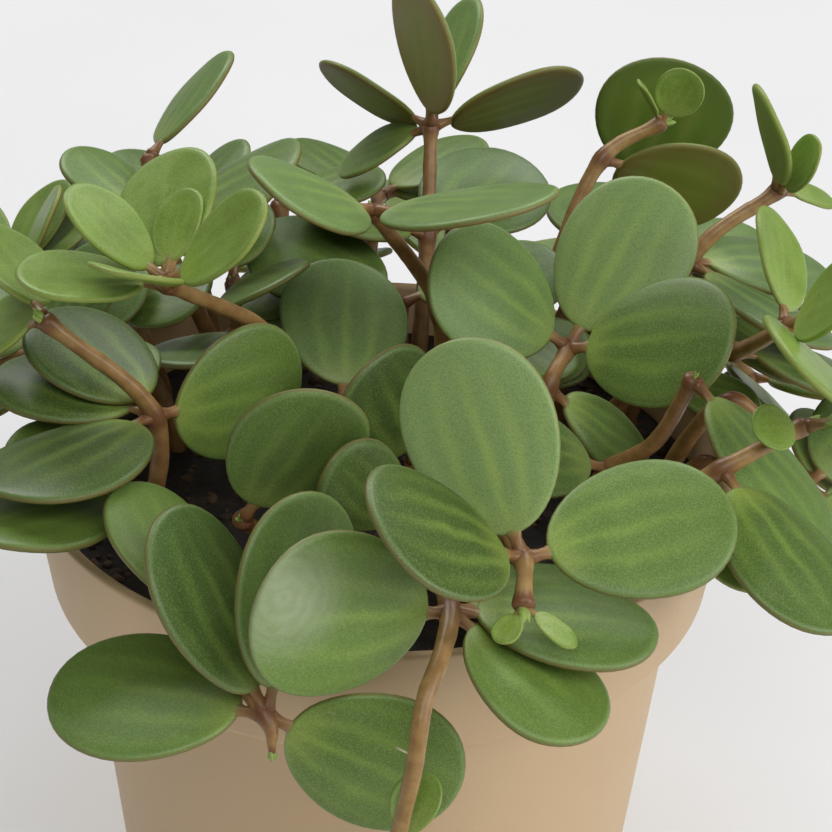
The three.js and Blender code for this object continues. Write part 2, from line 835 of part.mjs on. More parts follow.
// A leaf's stalk widens straight into the blade's base, so both are one closed body.
function leafSolid(leaf) {
  const small = leaf.length < YOUNG_LENGTH ? YOUNG_STALK_SHARE : 1;
  const baseTurn = Math.asin(STALK_TIP * small / (leaf.width / 2 * (1 - BLADE_SHAPE)));
  const under = [];
  const upper = [];
  for (let i = BLADE_POINTS - 1; i >= 0; i -= 1) {
    const turn = baseTurn + 2 * (Math.PI - baseTurn) * i / (BLADE_POINTS - 1);
    const place = outline(leaf, turn);
    under.push(leafPoint(leaf, ...place, -BLADE_EDGE / 2));
    upper.push(leafPoint(leaf, ...place, BLADE_EDGE / 2));
  }
  const middle = leaf.length / 2;
  const low = leafPoint(leaf, middle, 0, -BLADE_THICK / 2);
  const high = leafPoint(leaf, middle, 0, BLADE_THICK / 2);
  const root = [[1, -1], [-1, -1], [-1, 1], [1, 1]].map(([across, out]) => add(
    leaf.node,
    times(add(times(leaf.s, across), times(leaf.n, out)), STALK_HALF * small),
  ));
  const points = [low, ...under, ...upper, high, ...root];
  const count = BLADE_POINTS;
  const [firstUnder, firstUpper, highest, firstRoot] = [1, 1 + count, 1 + 2 * count, 2 + 2 * count];
  const index = [];
  for (let i = 0; i < count; i += 1) {
    const j = (i + 1) % count;
    index.push(0, firstUnder + j, firstUnder + i);
    index.push(highest, firstUpper + i, firstUpper + j);
    if (j > 0) {
      index.push(firstUnder + i, firstUnder + j, firstUpper + j);
      index.push(firstUnder + i, firstUpper + j, firstUpper + i);
    }
  }
  const blade = [firstUpper - 1, firstUnder, firstUpper, highest - 1];
  for (let k = 0; k < root.length; k += 1) {
    const next = (k + 1) % root.length;
    index.push(firstRoot + k, blade[k], blade[next]);
    index.push(firstRoot + k, blade[next], firstRoot + next);
  }
  index.push(firstRoot, firstRoot + 1, firstRoot + 2);
  index.push(firstRoot, firstRoot + 2, firstRoot + 3);
  return solidOf(closedBody(points, index));
}

function shootSolid(shoot, leaves) {
  const own = leaves.filter((leaf) => leaf.shoot === shoot);
  const joined = Manifold.union([stemSolid(shoot), ...own.map(leafSolid)]);
  const bodies = joined.decompose().sort((a, b) => b.volume() - a.volume());
  const loose = bodies.slice(1).reduce((sum, body) => sum + body.volume(), 0);
  if (loose > LOOSE_SCRAP) {
    throw new Error(`${shoot.name} has loose pieces of ${loose.toFixed(2)} cubic mm`);
  }
  return bodies[0];
}

const potFinish = new THREE.MeshStandardMaterial({ color: 0xc3a688, roughness: 0.6, metalness: 0 });
const soilFinish = new THREE.MeshStandardMaterial({ color: 0x2b211b, roughness: 0.95, metalness: 0 });
const leafFinish = new THREE.MeshStandardMaterial({ color: 0x5d8a45, roughness: 0.45, metalness: 0 });

const plant = new THREE.Group();

function place(name, geometry, finish) {
  const mesh = new THREE.Mesh(geometry, finish);
  mesh.name = name;
  plant.add(mesh);
}

const { stems, leaves } = growPlant();
place('pot', potGeometry(), potFinish);
place('soil', geometryOf(soilSolid(stems)), soilFinish);
for (const { shoot } of stems) {
  place(`shoot_${shoot.name}`, geometryOf(shootSolid(shoot, leaves)), leafFinish);
}

export default plant;
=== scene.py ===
# %% [markdown]
# # A potted peperomia
# The plant is a small trailing houseplant. Its stems are brown and thick, and its leaves are round,
# fleshy and a little glossy, with pale stripes that run from the base to the tip. It grows in a plain
# tan moulded pot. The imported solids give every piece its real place. This script keeps those places
# and builds a finer piece over each solid, because faceted solids have no round edges and no stripes.
# Lengths that belong to the plant are written in millimetres and turned into metres when a mesh is made.

# %% Start
from math import cos, exp, floor, hypot, pi, radians, sin, sqrt

import bpy
from mathutils import Matrix, Vector


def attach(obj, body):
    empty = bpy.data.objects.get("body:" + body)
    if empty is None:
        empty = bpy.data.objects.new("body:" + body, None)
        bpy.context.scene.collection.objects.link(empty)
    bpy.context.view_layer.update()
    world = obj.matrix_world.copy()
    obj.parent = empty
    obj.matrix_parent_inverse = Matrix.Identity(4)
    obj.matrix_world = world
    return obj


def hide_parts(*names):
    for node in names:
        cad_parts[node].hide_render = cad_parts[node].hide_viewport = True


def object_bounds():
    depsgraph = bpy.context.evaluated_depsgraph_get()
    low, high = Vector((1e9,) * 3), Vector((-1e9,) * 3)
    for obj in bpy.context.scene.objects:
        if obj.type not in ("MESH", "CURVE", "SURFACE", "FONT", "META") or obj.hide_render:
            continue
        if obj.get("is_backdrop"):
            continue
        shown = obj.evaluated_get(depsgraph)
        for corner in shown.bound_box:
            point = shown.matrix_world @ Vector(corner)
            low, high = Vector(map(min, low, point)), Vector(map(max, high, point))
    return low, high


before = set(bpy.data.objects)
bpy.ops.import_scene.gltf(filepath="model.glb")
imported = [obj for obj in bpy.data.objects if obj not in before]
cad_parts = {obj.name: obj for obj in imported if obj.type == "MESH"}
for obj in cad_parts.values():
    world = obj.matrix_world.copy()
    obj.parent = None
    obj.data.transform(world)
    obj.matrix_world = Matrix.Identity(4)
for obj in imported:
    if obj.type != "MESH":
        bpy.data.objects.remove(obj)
cad_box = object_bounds()
MM = 0.001
print("solids:", len(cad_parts))
print("box in mm:", [[round(c / MM, 1) for c in corner] for corner in cad_box])

# %% [markdown]
# ## Vectors
# The plant's layout is worked out with plain lists of three numbers, in the same steps as in the
# part's own source, so that both find the same leaves. Blender's Vector would do as well, but it
# holds shorter numbers, and a leaf that only just fits might then be left out here and not there.

# %% Vector helpers
def add(a, b):
    return [a[0] + b[0], a[1] + b[1], a[2] + b[2]]


def minus(a, b):
    return [a[0] - b[0], a[1] - b[1], a[2] - b[2]]


def times(a, f):
    return [a[0] * f, a[1] * f, a[2] * f]


def dot(a, b):
    return a[0] * b[0] + a[1] * b[1] + a[2] * b[2]


def cross(a, b):
    return [a[1] * b[2] - a[2] * b[1], a[2] * b[0] - a[0] * b[2], a[0] * b[1] - a[1] * b[0]]


def size(a):
    return sqrt(dot(a, a))


def unit(a):
    return times(a, 1 / size(a))


def apart(a, b):
    return size(minus(a, b))


def clamp(value, low, high):
    return min(max(value, low), high)


def smooth(low, high, value):
    share = clamp((value - low) / (high - low), 0, 1)
    return share * share * (3 - 2 * share)


DRAW_FACTOR, DRAW_PRIME = 16807, 2147483647


class Draws:
    """A repeatable series of draws between two bounds."""

    def __init__(self, seed):
        self.state = seed

    def between(self, low, high):
        self.state = (self.state * DRAW_FACTOR) % DRAW_PRIME
        return low + (high - low) * self.state / DRAW_PRIME


# %% [markdown]
# ## The plant's layout
# On the real plant each stem is one growth: it leaves the soil, and at its joints it carries whorls
# of two to six leaves. Each leaf here is five numbers: its heading in plan, its pitch, its roll, and
# its length and width. For the leaves in front, the box, base and tip of each outline were read off
# the photograph, and a least-squares program and a random search turned them into these numbers,
# which were then rounded and some of them changed one by one. The stems behind are added by a rule that
# draws a direction, tests it against the leaves, stems and pot that are there, and tries again if
# it would touch. Its seed is the best of those tried against the plant's outline in the photograph.
# Scattering leaves at random would be quicker, and they would cut through each other.

# %% Pot and layout sizes, in millimetres
POT_HEIGHT = 92
FOOT_RADIUS = 38.8
STEP_HEIGHT = 73.4
BODY_TOP_RADIUS = 45.8
COLLAR_LOW_RADIUS = 50
RIM_RADIUS = 52.5
WALL = 1.8
FLOOR = 2.4
SOIL_TOP = 84
SOIL_GAP = 0.35
SOIL_LUMP = 0.8
STEM_FOOT = 77
STEM_CLEAR = 88
STEM_RADIUS = 1.8
STEM_TAPER = 0.3
STEM_STEP = 2
LEAF_STALK = 2.8
YOUNG_STALK_SHARE = 0.55
YOUNG_LENGTH = 10
BLADE_SHAPE = 0.12
DOME, DOME_YOUNG = 0.05, 0.11
DROOP, DROOP_YOUNG = 0.05, 0.04
LEAF_GAP = 2
LEAF_MARGIN = 0.6
POT_GAP = 0.9
FLOOR_GAP = 8
STEM_GAP = 0.5
STEM_LIFT_GAP = 1.2
OWN_STEM_REACH = 6
MATE_GAP = 0.8
MATE_MARGIN = 0.2


def outer_radius(height):
    """Outside radius of the pot at a height: the tapered body, then the collar."""
    if height > STEP_HEIGHT:
        climb = (height - STEP_HEIGHT) / (POT_HEIGHT - STEP_HEIGHT)
        return COLLAR_LOW_RADIUS + (RIM_RADIUS - COLLAR_LOW_RADIUS) * climb
    return FOOT_RADIUS + (BODY_TOP_RADIUS - FOOT_RADIUS) * height / STEP_HEIGHT


# %% Leafy stems fitted to the photograph
# name, root in plan, path above the soil, then its whorls: which point of the path it grows at, how
# young it is from 0 to 1, how many leaves the rule adds, and its leaves.
SHOOTS = [
    ("front", [5, -34], [
        [8, -46, 101], [10, -57, 103], [9, -65, 102], [7, -71, 99], [6, -75, 92], [4, -77, 81],
    ], [
        (1, 0, 0, [
            [210, 15, -80, 26, 23], [330, -20, -5, 22, 20], [30, -10, 0, 25, 21], [5, -5, 0, 25, 19],
        ]),
        (5, 1, 0, [[60, 40, 0, 9, 7], [190, -10, 0, 13, 10], [320, 0, 0, 14, 11]]),
    ]),
    ("front_right", [16, -29], [[17, -41, 104], [19, -55, 110], [19, -62, 108]], [
        (1, 0.2, 0, [[135, 60, -55, 27, 21], [15, 10, 25, 26, 21], [215, 35, -25, 25, 21]]),
        (2, 1, 0, [[240, -20, 0, 5, 4], [330, -25, 0, 7, 4]]),
    ]),
    ("front_left", [-15, -37], [[-17, -46, 99], [-21, -54, 97], [-13, -64, 91], [-12, -67, 88]], [
        (1, 0.1, 0, [[120, 30, 30, 21, 20]]),
        (2, 0.1, 0, [
            [165, 0, -10, 27, 23], [355, -25, 85, 25, 22], [135, 55, 20, 27, 21], [65, 55, 70, 27, 22],
        ]),
    ]),
    ("inner_left", [-13, -24], [[-18, -36, 102]], [(0, 0.1, 0, [[344, 58, 119, 23, 19]])]),
    ("inner", [-6, 1], [[-6, 1, 98]], [(0, 0, 0, [[90, 35, 15, 23, 21]])]),
    ("inner_front", [5, -10], [[5, -8, 94]], [(0, 0, 0, [[229, 67, -98, 20, 18]])]),
    ("inner_rear", [3, 17], [[2, 22, 104]], [(0, 0, 3, [[152, 15, -13, 25, 20]])]),
    ("inner_low", [5, -24], [[4, -32, 99]], [(0, 0, 0, [[231, 50, -101, 20, 13]])]),
    ("crown", [8, 8], [[8, 9, 110], [-2, 6, 128]], [
        (0, 0, 1, []), (1, 0.3, 0, [[231, 30, -19, 24, 18], [324, 22, -4, 29, 23]]),
    ]),
    ("middle_right", [22, -5], [[24, -6, 106], [27, 1, 109]], [
        (0, 0, 0, [[12, -40, 30, 20, 12]]),
        (1, 0.1, 0, [[182, 40, -35, 23, 22], [45, 50, 12, 26, 22], [326, 24, 45, 26, 21]]),
    ]),
    ("upper_left", [-18, 2], [[-18, 0, 100], [-17, -4, 113], [-29, -20, 129]], [
        (2, 0.8, 0, [
            [95, 25, -30, 21, 17], [160, 40, 0, 16, 12], [83, 38, -30, 12, 9], [335, 45, 35, 19, 13],
            [195, 10, 0, 18, 15], [251, 32, 0, 15, 13],
        ]),
    ]),
    ("left", [-33, -19], [[-31, -23, 110], [-45, -24, 125]], [
        (0, 0, 0, [
            [155, 5, 0, 23, 18], [135, 20, 5, 22, 19], [230, 5, 10, 27, 24], [37, -7, 89, 23, 22],
        ]),
        (1, 0.7, 0, [[122, 18, 30, 19, 16], [137, -27, -32, 17, 13]]),
    ]),
    ("left_low", [-27, -31], [[-34, -31, 102]], [(0, 0, 2, [[225, 15, 10, 25, 23]])]),
    ("rear", [5, 27], [[6, 38, 108], [6, 47, 123]], [
        (0, 0, 3, []),
        (1, 0.4, 0, [
            [255, 75, -39, 26, 17], [20, 12, -50, 24, 20], [140, 8, 50, 21, 16], [153, -31, -15, 17, 14],
            [75, 39, -44, 22, 14],
        ]),
    ]),
    ("rear_right", [26, 34], [[34, 44, 106], [39, 49, 112]], [(1, 0, 0, [[19, 72, -101, 21, 24]])]),
    ("upper_right", [22, 25], [[27, 31, 110], [33, 37, 123], [42, 40, 128]], [
        (1, 0.4, 0, [[20, -25, -65, 23, 20]]), (2, 1, 0, [[338, 66, 96, 9, 8], [190, 60, 0, 7, 6]]),
    ]),
    ("right_rear", [35, 12], [[45, 14, 117], [58, 19, 127]], [
        (0, 0, 1, [[29, -11, 4, 24, 20]]),
        (1, 0.8, 0, [[243, 61, -47, 20, 13], [287, 47, 79, 14, 8], [43, -22, 17, 12, 7]]),
    ]),
    ("right", [32, 9], [[40, 8, 101], [47, 5, 107], [51, -2, 111], [55, -18, 124]], [
        (0, 0, 2, []), (2, 0, 1, [[25, -20, 0, 22, 19]]),
        (3, 0.8, 0, [[90, 25, 50, 18, 13], [300, 45, 50, 17, 13], [275, 10, -40, 23, 18]]),
    ]),
    ("right_low", [30, -11], [[33, -13, 97], [39, -16, 104], [43, -19, 116]], [
        (0, 0, 2, []), (2, 0, 0, [[325, -35, -10, 28, 19]]),
    ]),
    ("right_front", [31, -28], [[36, -31, 101], [46, -34, 111], [57, -29, 115]], [
        (1, 0.1, 0, [[305, -20, -15, 26, 22]]), (2, 1, 0, [[215, 15, -40, 8, 7], [340, 25, 0, 12, 8]]),
    ]),
    ("rear_left", [-26, 27], [[-36, 28, 114], [-38, 36, 121]], [
        (0, 0, 0, [[345, 35, 10, 25, 22], [135, 20, 15, 18, 16]]), (1, 0.3, 0, [[60, 30, -35, 21, 15]]),
    ]),
]


# %% Leafy stems added by the rule
# heading, root radius, tip radius, tip height, arch, whorls
OUTER_STEMS = [
    [180, 40, 64, 96, 12, 2], [164, 33, 64, 104, 10, 2], [149, 41, 66, 88, 18, 2],
    [131, 42, 60, 104, 8, 2], [113, 41, 66, 86, 20, 2], [95, 42, 60, 104, 8, 2],
    [77, 42, 66, 86, 20, 2], [60, 44, 64, 96, 12, 2], [41, 36, 62, 102, 10, 2],
    [24, 42, 66, 88, 18, 2], [357, 42, 63, 92, 14, 2], [341, 41, 60, 99, 8, 2],
    [203, 40, 62, 99, 8, 2],
]
INNER_STEMS = [[140, 30, 31, 108, 2, 2], [45, 17, 19, 108, 2, 2]]
SEED = 20314
LOW_WHORL_LEAVES, TIP_WHORL_LEAVES = 4, 5
STEM_TURN = 8
STEM_SPREAD_POWER = 1.2
OLD_TIP, YOUNG_TIP = 0.15, 0.55
TRIALS = 14
TRIAL_TURN = 11
TRIAL_SHRINK = 0.02
HEADING_SPREAD = 25
SHORTEST, LONGEST, YOUNG_SHORTER = 20, 27, 5
NARROWEST, WIDEST = 0.78, 0.88
LEAN_RADIUS, LEAN_MOST, LEAN_SHARE = 60, 1.1, 0.5
LIGHT_SIDE = [0.1, -0.25]
TILT_SPREAD = 0.25
LIFT_MOST, YOUNG_LIFT = 22, 22
BRIGHT_SHARE = 0.5
FEWEST_HEADINGS = 3


def ruled_shoot(name, row, draws):
    """A stem added by rule: it leaves the soil at the root radius and arches out to its tip."""
    heading, root_radius, tip_radius, tip_height, arch, count = row
    turn = radians(draws.between(-STEM_TURN, STEM_TURN))
    path, whorls = [], []
    for j in range(1, count + 1):
        share = j / count
        angle = radians(heading) + turn * share
        radius = root_radius + (tip_radius - root_radius) * share ** STEM_SPREAD_POWER
        climb = STEM_CLEAR + (tip_height - STEM_CLEAR) * share
        path.append([radius * cos(angle), radius * sin(angle), climb + arch * 4 * share * (1 - share)])
        bright = name.startswith("outer") and draws.between(0, 1) > BRIGHT_SHARE
        extra = LOW_WHORL_LEAVES if j < count else TIP_WHORL_LEAVES
        whorls.append((j - 1, (YOUNG_TIP if bright else OLD_TIP) * share, extra, []))
    root = [root_radius * cos(radians(heading)), root_radius * sin(radians(heading))]
    return name, root, path, whorls


# %% Stems
def controls_of(shoot):
    x, y = shoot["root"]
    return [[x, y, STEM_FOOT], [x, y, STEM_CLEAR]] + shoot["path"]


def stem_points(shoot, step):
    """Points along a stem, evenly split between each pair of its control points."""
    controls = controls_of(shoot)
    last = len(controls) - 1
    points = []
    for i in range(last):
        p1, p2 = controls[i], controls[i + 1]
        p0 = controls[i - 1] if i else minus(add(p1, p1), p2)
        p3 = controls[i + 2] if i + 2 <= last else minus(add(p2, p2), p1)
        count = max(1, floor(apart(p1, p2) / step + 0.5))
        for k in range(count):
            t = k / count
            if i == 0:
                points.append(add(p1, times(minus(p2, p1), t)))
                continue
            point = []
            for a, b, c, d in zip(p0, p1, p2, p3):
                leaving, arriving = (c - a) * 0.5, (d - b) * 0.5
                square = -3 * b + 3 * c - 2 * leaving - arriving
                cube = 2 * b - 2 * c + leaving + arriving
                point.append(b + leaving * t + square * t * t + cube * t * t * t)
            points.append(point)
    points.append(list(controls[last]))
    return points


def stem_radius(share):
    return STEM_RADIUS * (1 - STEM_TAPER * share)


def make_stem(shoot):
    points = stem_points(shoot, STEM_STEP)
    radii = [stem_radius(i / (len(points) - 1)) for i in range(len(points))]
    return {"shoot": shoot, "points": points, "radii": radii}


# %% [markdown]
# ## Leaves as formulas
# A leaf is an ellipse with its widest place past the middle, on a surface whose sides roll down and
# whose tip droops. Keeping it as a formula, and not as a mesh that is copied and bent, lets the same
# leaf be tested against its neighbours here and be meshed finely further down.

# %% Leaf shape
# d runs along a leaf, s across it and n out of its upper side. u and v are lengths along d and s.
def leaf_axes(heading, pitch, roll):
    h, p, r = radians(heading), radians(pitch), radians(roll)
    d = [cos(p) * cos(h), cos(p) * sin(h), sin(p)]
    level = [-sin(h), cos(h), 0]
    upper = cross(d, level)
    s = add(times(level, cos(r)), times(upper, sin(r)))
    n = minus(times(upper, cos(r)), times(level, sin(r)))
    return d, s, n


def make_leaf(shoot, node, axes, length, width, young):
    d, s, n = axes
    stalk = LEAF_STALK * (YOUNG_STALK_SHARE if length < YOUNG_LENGTH else 1)
    leaf = {"shoot": shoot, "node": node, "base": add(node, times(d, stalk)), "d": d, "s": s, "n": n}
    leaf.update(length=length, width=width, young=young)
    return leaf


def bend(leaf, u, v):
    """How far the surface lies above the leaf's flat plane, or below it where negative."""
    dome = DOME - DOME_YOUNG * leaf["young"]
    droop = DROOP - DROOP_YOUNG * leaf["young"]
    across = 2 * v / leaf["width"]
    along = u / leaf["length"]
    return -dome * leaf["width"] * across * across - droop * leaf["length"] * along * along


def leaf_point(leaf, u, v, lift=0.0):
    rise = bend(leaf, u, v) + lift
    flat = add(times(leaf["d"], u), times(leaf["s"], v))
    return add(leaf["base"], add(flat, times(leaf["n"], rise)))


def outline(leaf, turn, share=1.0):
    """The place at a turn round the leaf's middle, at a share of the way out to its rim."""
    u = leaf["length"] / 2 * (1 - share * cos(turn))
    v = leaf["width"] / 2 * share * sin(turn) * (1 - BLADE_SHAPE * cos(turn))
    return u, v


# %% Room between leaves
RIM_TESTS, INNER_TESTS, INNER_SHARE = 16, 8, 0.6
MATES_FROM = 3
STEM_PIERCE_GAP = 0.3
SAME_NODE = 0.01
MOUTH_RADIUS = 49
SOIL_CLEAR = 1.5


def test_points(leaf):
    points = []
    for share, count in ((1, RIM_TESTS), (INNER_SHARE, INNER_TESTS)):
        points += [leaf_point(leaf, *outline(leaf, 2 * pi * i / count, share)) for i in range(count)]
    points.append(leaf_point(leaf, leaf["length"] / 2, 0))
    return points


def in_leaf(leaf, point):
    """A point as its place along and across the leaf and its height over the surface."""
    reach = minus(point, leaf["base"])
    u, v = dot(reach, leaf["d"]), dot(reach, leaf["s"])
    half = leaf["width"] / 2
    height = dot(reach, leaf["n"]) - bend(leaf, clamp(u, 0, leaf["length"]), clamp(v, -half, half))
    return u, v, height


def within(leaf, u, v, margin):
    """Whether a place lies inside the leaf's outline, widened by a margin."""
    t = (u - leaf["length"] / 2) / (leaf["length"] / 2 + margin)
    if abs(t) >= 1:
        return False
    return abs(v) < (leaf["width"] / 2 + margin) * sqrt(1 - t * t) * (1 + BLADE_SHAPE * t)


def near_blade(leaf, point, margin, gap):
    u, v, height = in_leaf(leaf, point)
    return abs(height) <= gap and within(leaf, u, v, margin)


def pierces(leaf, start, end, margin):
    """Whether the line from start to end passes through the leaf."""
    a, b = in_leaf(leaf, start), in_leaf(leaf, end)
    if (a[2] > 0) == (b[2] > 0):
        return False
    share = a[2] / (a[2] - b[2])
    return within(leaf, a[0] + (b[0] - a[0]) * share, a[1] + (b[1] - a[1]) * share, margin)


def blades_clash(first, second):
    middles = apart(first["tests"][-1], second["tests"][-1])
    if middles > (first["length"] + second["length"]) / 2 + LEAF_GAP:
        return False
    for one, other in ((first, second), (second, first)):
        tests = one["tests"]
        if any(near_blade(other, point, LEAF_MARGIN, LEAF_GAP) for point in tests):
            return True
        for i in range(RIM_TESTS):
            if pierces(other, tests[i], tests[(i + 1) % RIM_TESTS], LEAF_MARGIN):
                return True
            if pierces(other, tests[i], tests[-1], LEAF_MARGIN):
                return True
    return False


def mates_clash(first, second):
    """Leaves of one whorl share their base, so only the stretch past it is tested."""
    start, end = MATES_FROM, RIM_TESTS - MATES_FROM
    for one, other in ((first, second), (second, first)):
        tests = one["tests"]
        for i in range(start, end + 1):
            if near_blade(other, tests[i], MATE_MARGIN, MATE_GAP):
                return True
            if i < end and pierces(other, tests[i], tests[i + 1], 0):
                return True
    return False


def near_stem(leaf, stem, own):
    """Whether a stem comes too near the leaf; its own stem is let off close to where it grows."""
    points = stem["points"]
    for i, point in enumerate(points):
        if own and apart(point, leaf["node"]) < OWN_STEM_REACH:
            continue
        radius = stem["radii"][i]
        if near_blade(leaf, point, radius + STEM_GAP, radius + STEM_LIFT_GAP):
            return True
        if i > 0 and not (own and apart(points[i - 1], leaf["node"]) < OWN_STEM_REACH):
            if pierces(leaf, points[i - 1], point, radius + STEM_PIERCE_GAP):
                return True
    return False


def clear_of_pot(point):
    radius = hypot(point[0], point[1])
    above = point[2] > POT_HEIGHT + POT_GAP
    outside = radius > outer_radius(point[2]) + POT_GAP
    inside = radius < MOUTH_RADIUS - POT_GAP and point[2] > SOIL_TOP + SOIL_CLEAR + POT_GAP
    return above or outside or inside


def leaf_is_free(leaf, leaves, stems):
    leaf["tests"] = test_points(leaf)
    if any(not clear_of_pot(point) or point[2] < FLOOR_GAP for point in leaf["tests"]):
        return False
    if any(near_stem(leaf, stem, stem["shoot"] is leaf["shoot"]) for stem in stems):
        return False
    for other in leaves:
        mates = other["shoot"] is leaf["shoot"] and apart(other["node"], leaf["node"]) < SAME_NODE
        if mates_clash(leaf, other) if mates else blades_clash(leaf, other):
            return False
    return True


# %% Growing the plant
def ruled_leaf(shoot, node, young, heading, trial, draws):
    h = radians(heading)
    length = (draws.between(SHORTEST, LONGEST) - YOUNG_SHORTER * young) * (1 - TRIAL_SHRINK * trial)
    width = length * draws.between(NARROWEST, WIDEST)
    radius = hypot(node[0], node[1])
    lean = min(radius / LEAN_RADIUS, LEAN_MOST) * LEAN_SHARE
    up = unit([
        node[0] / radius * lean + LIGHT_SIDE[0] + draws.between(-TILT_SPREAD, TILT_SPREAD),
        node[1] / radius * lean + LIGHT_SIDE[1] + draws.between(-TILT_SPREAD, TILT_SPREAD),
        1,
    ])
    ahead = [cos(h), sin(h), 0]
    level = unit(minus(ahead, times(up, dot(ahead, up))))
    lift = radians(draws.between(0, LIFT_MOST) + YOUNG_LIFT * young)
    n = minus(times(up, cos(lift)), times(level, sin(lift)))
    d = add(times(level, cos(lift)), times(up, sin(lift)))
    return make_leaf(shoot, node, (d, cross(n, d), n), length, width, young)


def grow_plant():
    """The fitted leaves first, then each leaf of the rule at its first trial that finds room."""
    draws = Draws(SEED)
    rows = list(SHOOTS)
    rows += [ruled_shoot(f"outer_{i + 1}", row, draws) for i, row in enumerate(OUTER_STEMS)]
    rows += [ruled_shoot(f"inner_{i + 1}", row, draws) for i, row in enumerate(INNER_STEMS)]
    shoots = [dict(zip(("name", "root", "path", "whorls"), row)) for row in rows]
    stems = [make_stem(shoot) for shoot in shoots]
    leaves = []
    for shoot in shoots:
        for at, young, _, rows in shoot["whorls"]:
            for heading, pitch, roll, length, width in rows:
                axes = leaf_axes(heading, pitch, roll)
                leaf = make_leaf(shoot, shoot["path"][at], axes, length, width, young)
                leaf["tests"] = test_points(leaf)
                leaves.append(leaf)
    for shoot in shoots:
        for at, young, extra, _ in shoot["whorls"]:
            if extra == 0:
                continue
            start = draws.between(0, 360)
            for j in range(extra):
                for trial in range(TRIALS):
                    heading = start + 360 * j / max(extra, FEWEST_HEADINGS)
                    heading += draws.between(-HEADING_SPREAD, HEADING_SPREAD) + trial * TRIAL_TURN
                    leaf = ruled_leaf(shoot, shoot["path"][at], young, heading, trial, draws)
                    if leaf_is_free(leaf, leaves, stems):
                        leaves.append(leaf)
                        break
    return shoots, leaves


shoots, leaves = grow_plant()
print("leafy stems:", len(shoots), "leaves:", len(leaves))

# %% [markdown]
# ## Gathering a mesh
# Every piece below is a list of points and faces, with a few numbers kept on each point: how far
# along a leaf it lies, how young the leaf is, and so on. The finishes read those numbers, so one
# finish can paint stripes that run from the base to the tip of every leaf, whatever way it faces.

# %% Mesh helpers
class Shape:
    """Points, faces and named numbers on each point, gathered before they become one mesh."""

    def __init__(self, *names):
        self.points, self.faces = [], []
        self.values = {name: [] for name in names}

    def point(self, place, **values):
        self.points.append([c * MM for c in place])
        for name, kept in self.values.items():
            kept.append(values.get(name, 0.0))
        return len(self.points) - 1

    def band(self, first, second):
        """Four-sided faces between two closed rings of points."""
        count = len(first)
        for i in range(count):
            j = (i + 1) % count
            self.faces.append((first[i], first[j], second[j], second[i]))

    def fan(self, ring, tip):
        for i, start in enumerate(ring):
            self.faces.append((start, ring[(i + 1) % len(ring)], tip))

    def closed(self, rings, first_tip, last_tip):
        """Bands between rings in a row, and a fan that closes each end."""
        for low, high in zip(rings, rings[1:]):
            self.band(low, high)
        self.fan(rings[0][::-1], first_tip)
        self.fan(rings[-1], last_tip)

    def piece(self, name, finish, *nodes, slot=None):
        mesh = bpy.data.meshes.new(name)
        mesh.from_pydata(self.points, [], self.faces)
        for value_name, kept in self.values.items():
            mesh.attributes.new(value_name, "FLOAT", "POINT").data.foreach_set("value", kept)
        mesh.shade_smooth()
        mesh.materials.append(finish)
        made = bpy.data.objects.new(name, mesh)
        bpy.context.scene.collection.objects.link(made)
        if nodes:
            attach(made, "root")
            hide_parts(*nodes)
        return made


def ring_round(shape, centre, across, upward, out, up, sides, **values):
    """A closed ring round a centre, in the plane of two directions."""
    ring = []
    for i in range(sides):
        turn = 2 * pi * i / sides
        rise = add(times(across, out * cos(turn)), times(upward, up * sin(turn)))
        ring.append(shape.point(add(centre, rise), **values))
    return ring


# %% [markdown]
# ## The pot
# The real pot is thin moulded plastic with a collar round its rim. A pot has one outline turned about
# one axis, so its profile is written as radius and height pairs and swept round. The corners are
# short curves, because a moulded edge is never sharp and the curve is what catches the light.

# %% Pot
POT_SIDES = 160
ROUND_STEPS = 4


def rounded(corners, radii):
    """A profile with each corner between its ends replaced by a curve of about the given reach."""
    profile = [corners[0]]
    for before, corner, after, radius in zip(corners, corners[1:], corners[2:], radii):
        back = hypot(before[0] - corner[0], before[1] - corner[1])
        ahead = hypot(after[0] - corner[0], after[1] - corner[1])
        reach = min(radius, back / 2, ahead / 2)
        start = [c + (b - c) * reach / back for c, b in zip(corner, before)]
        end = [c + (a - c) * reach / ahead for c, a in zip(corner, after)]
        for i in range(ROUND_STEPS + 1):
            t = i / ROUND_STEPS
            profile.append([
                s * (1 - t) ** 2 + c * 2 * t * (1 - t) + e * t * t
                for s, c, e in zip(start, corner, end)
            ])
    profile.append(corners[-1])
    return profile


def inner_corners(gap):
    """Inside of the pot at a gap from its wall, from the collar down to the axis."""
    shelf, under_shelf = STEP_HEIGHT + WALL, STEP_HEIGHT - WALL / 2
    return [
        [outer_radius(shelf) - WALL - gap, shelf + gap],
        [outer_radius(under_shelf) - WALL - gap, under_shelf + gap],
        [outer_radius(FLOOR) - WALL - gap, FLOOR + gap],
        [0, FLOOR + gap],
    ]


POT_CORNERS = [
    [0, 0],
    [FOOT_RADIUS, 0],
    [BODY_TOP_RADIUS, STEP_HEIGHT],
    [COLLAR_LOW_RADIUS, STEP_HEIGHT],
    [RIM_RADIUS, POT_HEIGHT],
    [RIM_RADIUS - WALL, POT_HEIGHT],
    *inner_corners(0),
]
POT_ROUNDS = [1.2, 0.9, 1.1, 0.85, 0.85, 0.6, 0.6, 1.1]
X_WAY, Y_WAY = [1, 0, 0], [0, 1, 0]


def turned(shape, profile, sides):
    """Sweep a profile that starts and ends on the axis round it."""
    rings = []
    for radius, height in profile[1:-1]:
        rings.append(ring_round(shape, [0, 0, height], X_WAY, Y_WAY, radius, radius, sides))
    shape.closed(rings, shape.point([0, 0, profile[0][1]]), shape.point([0, 0, profile[-1][1]]))


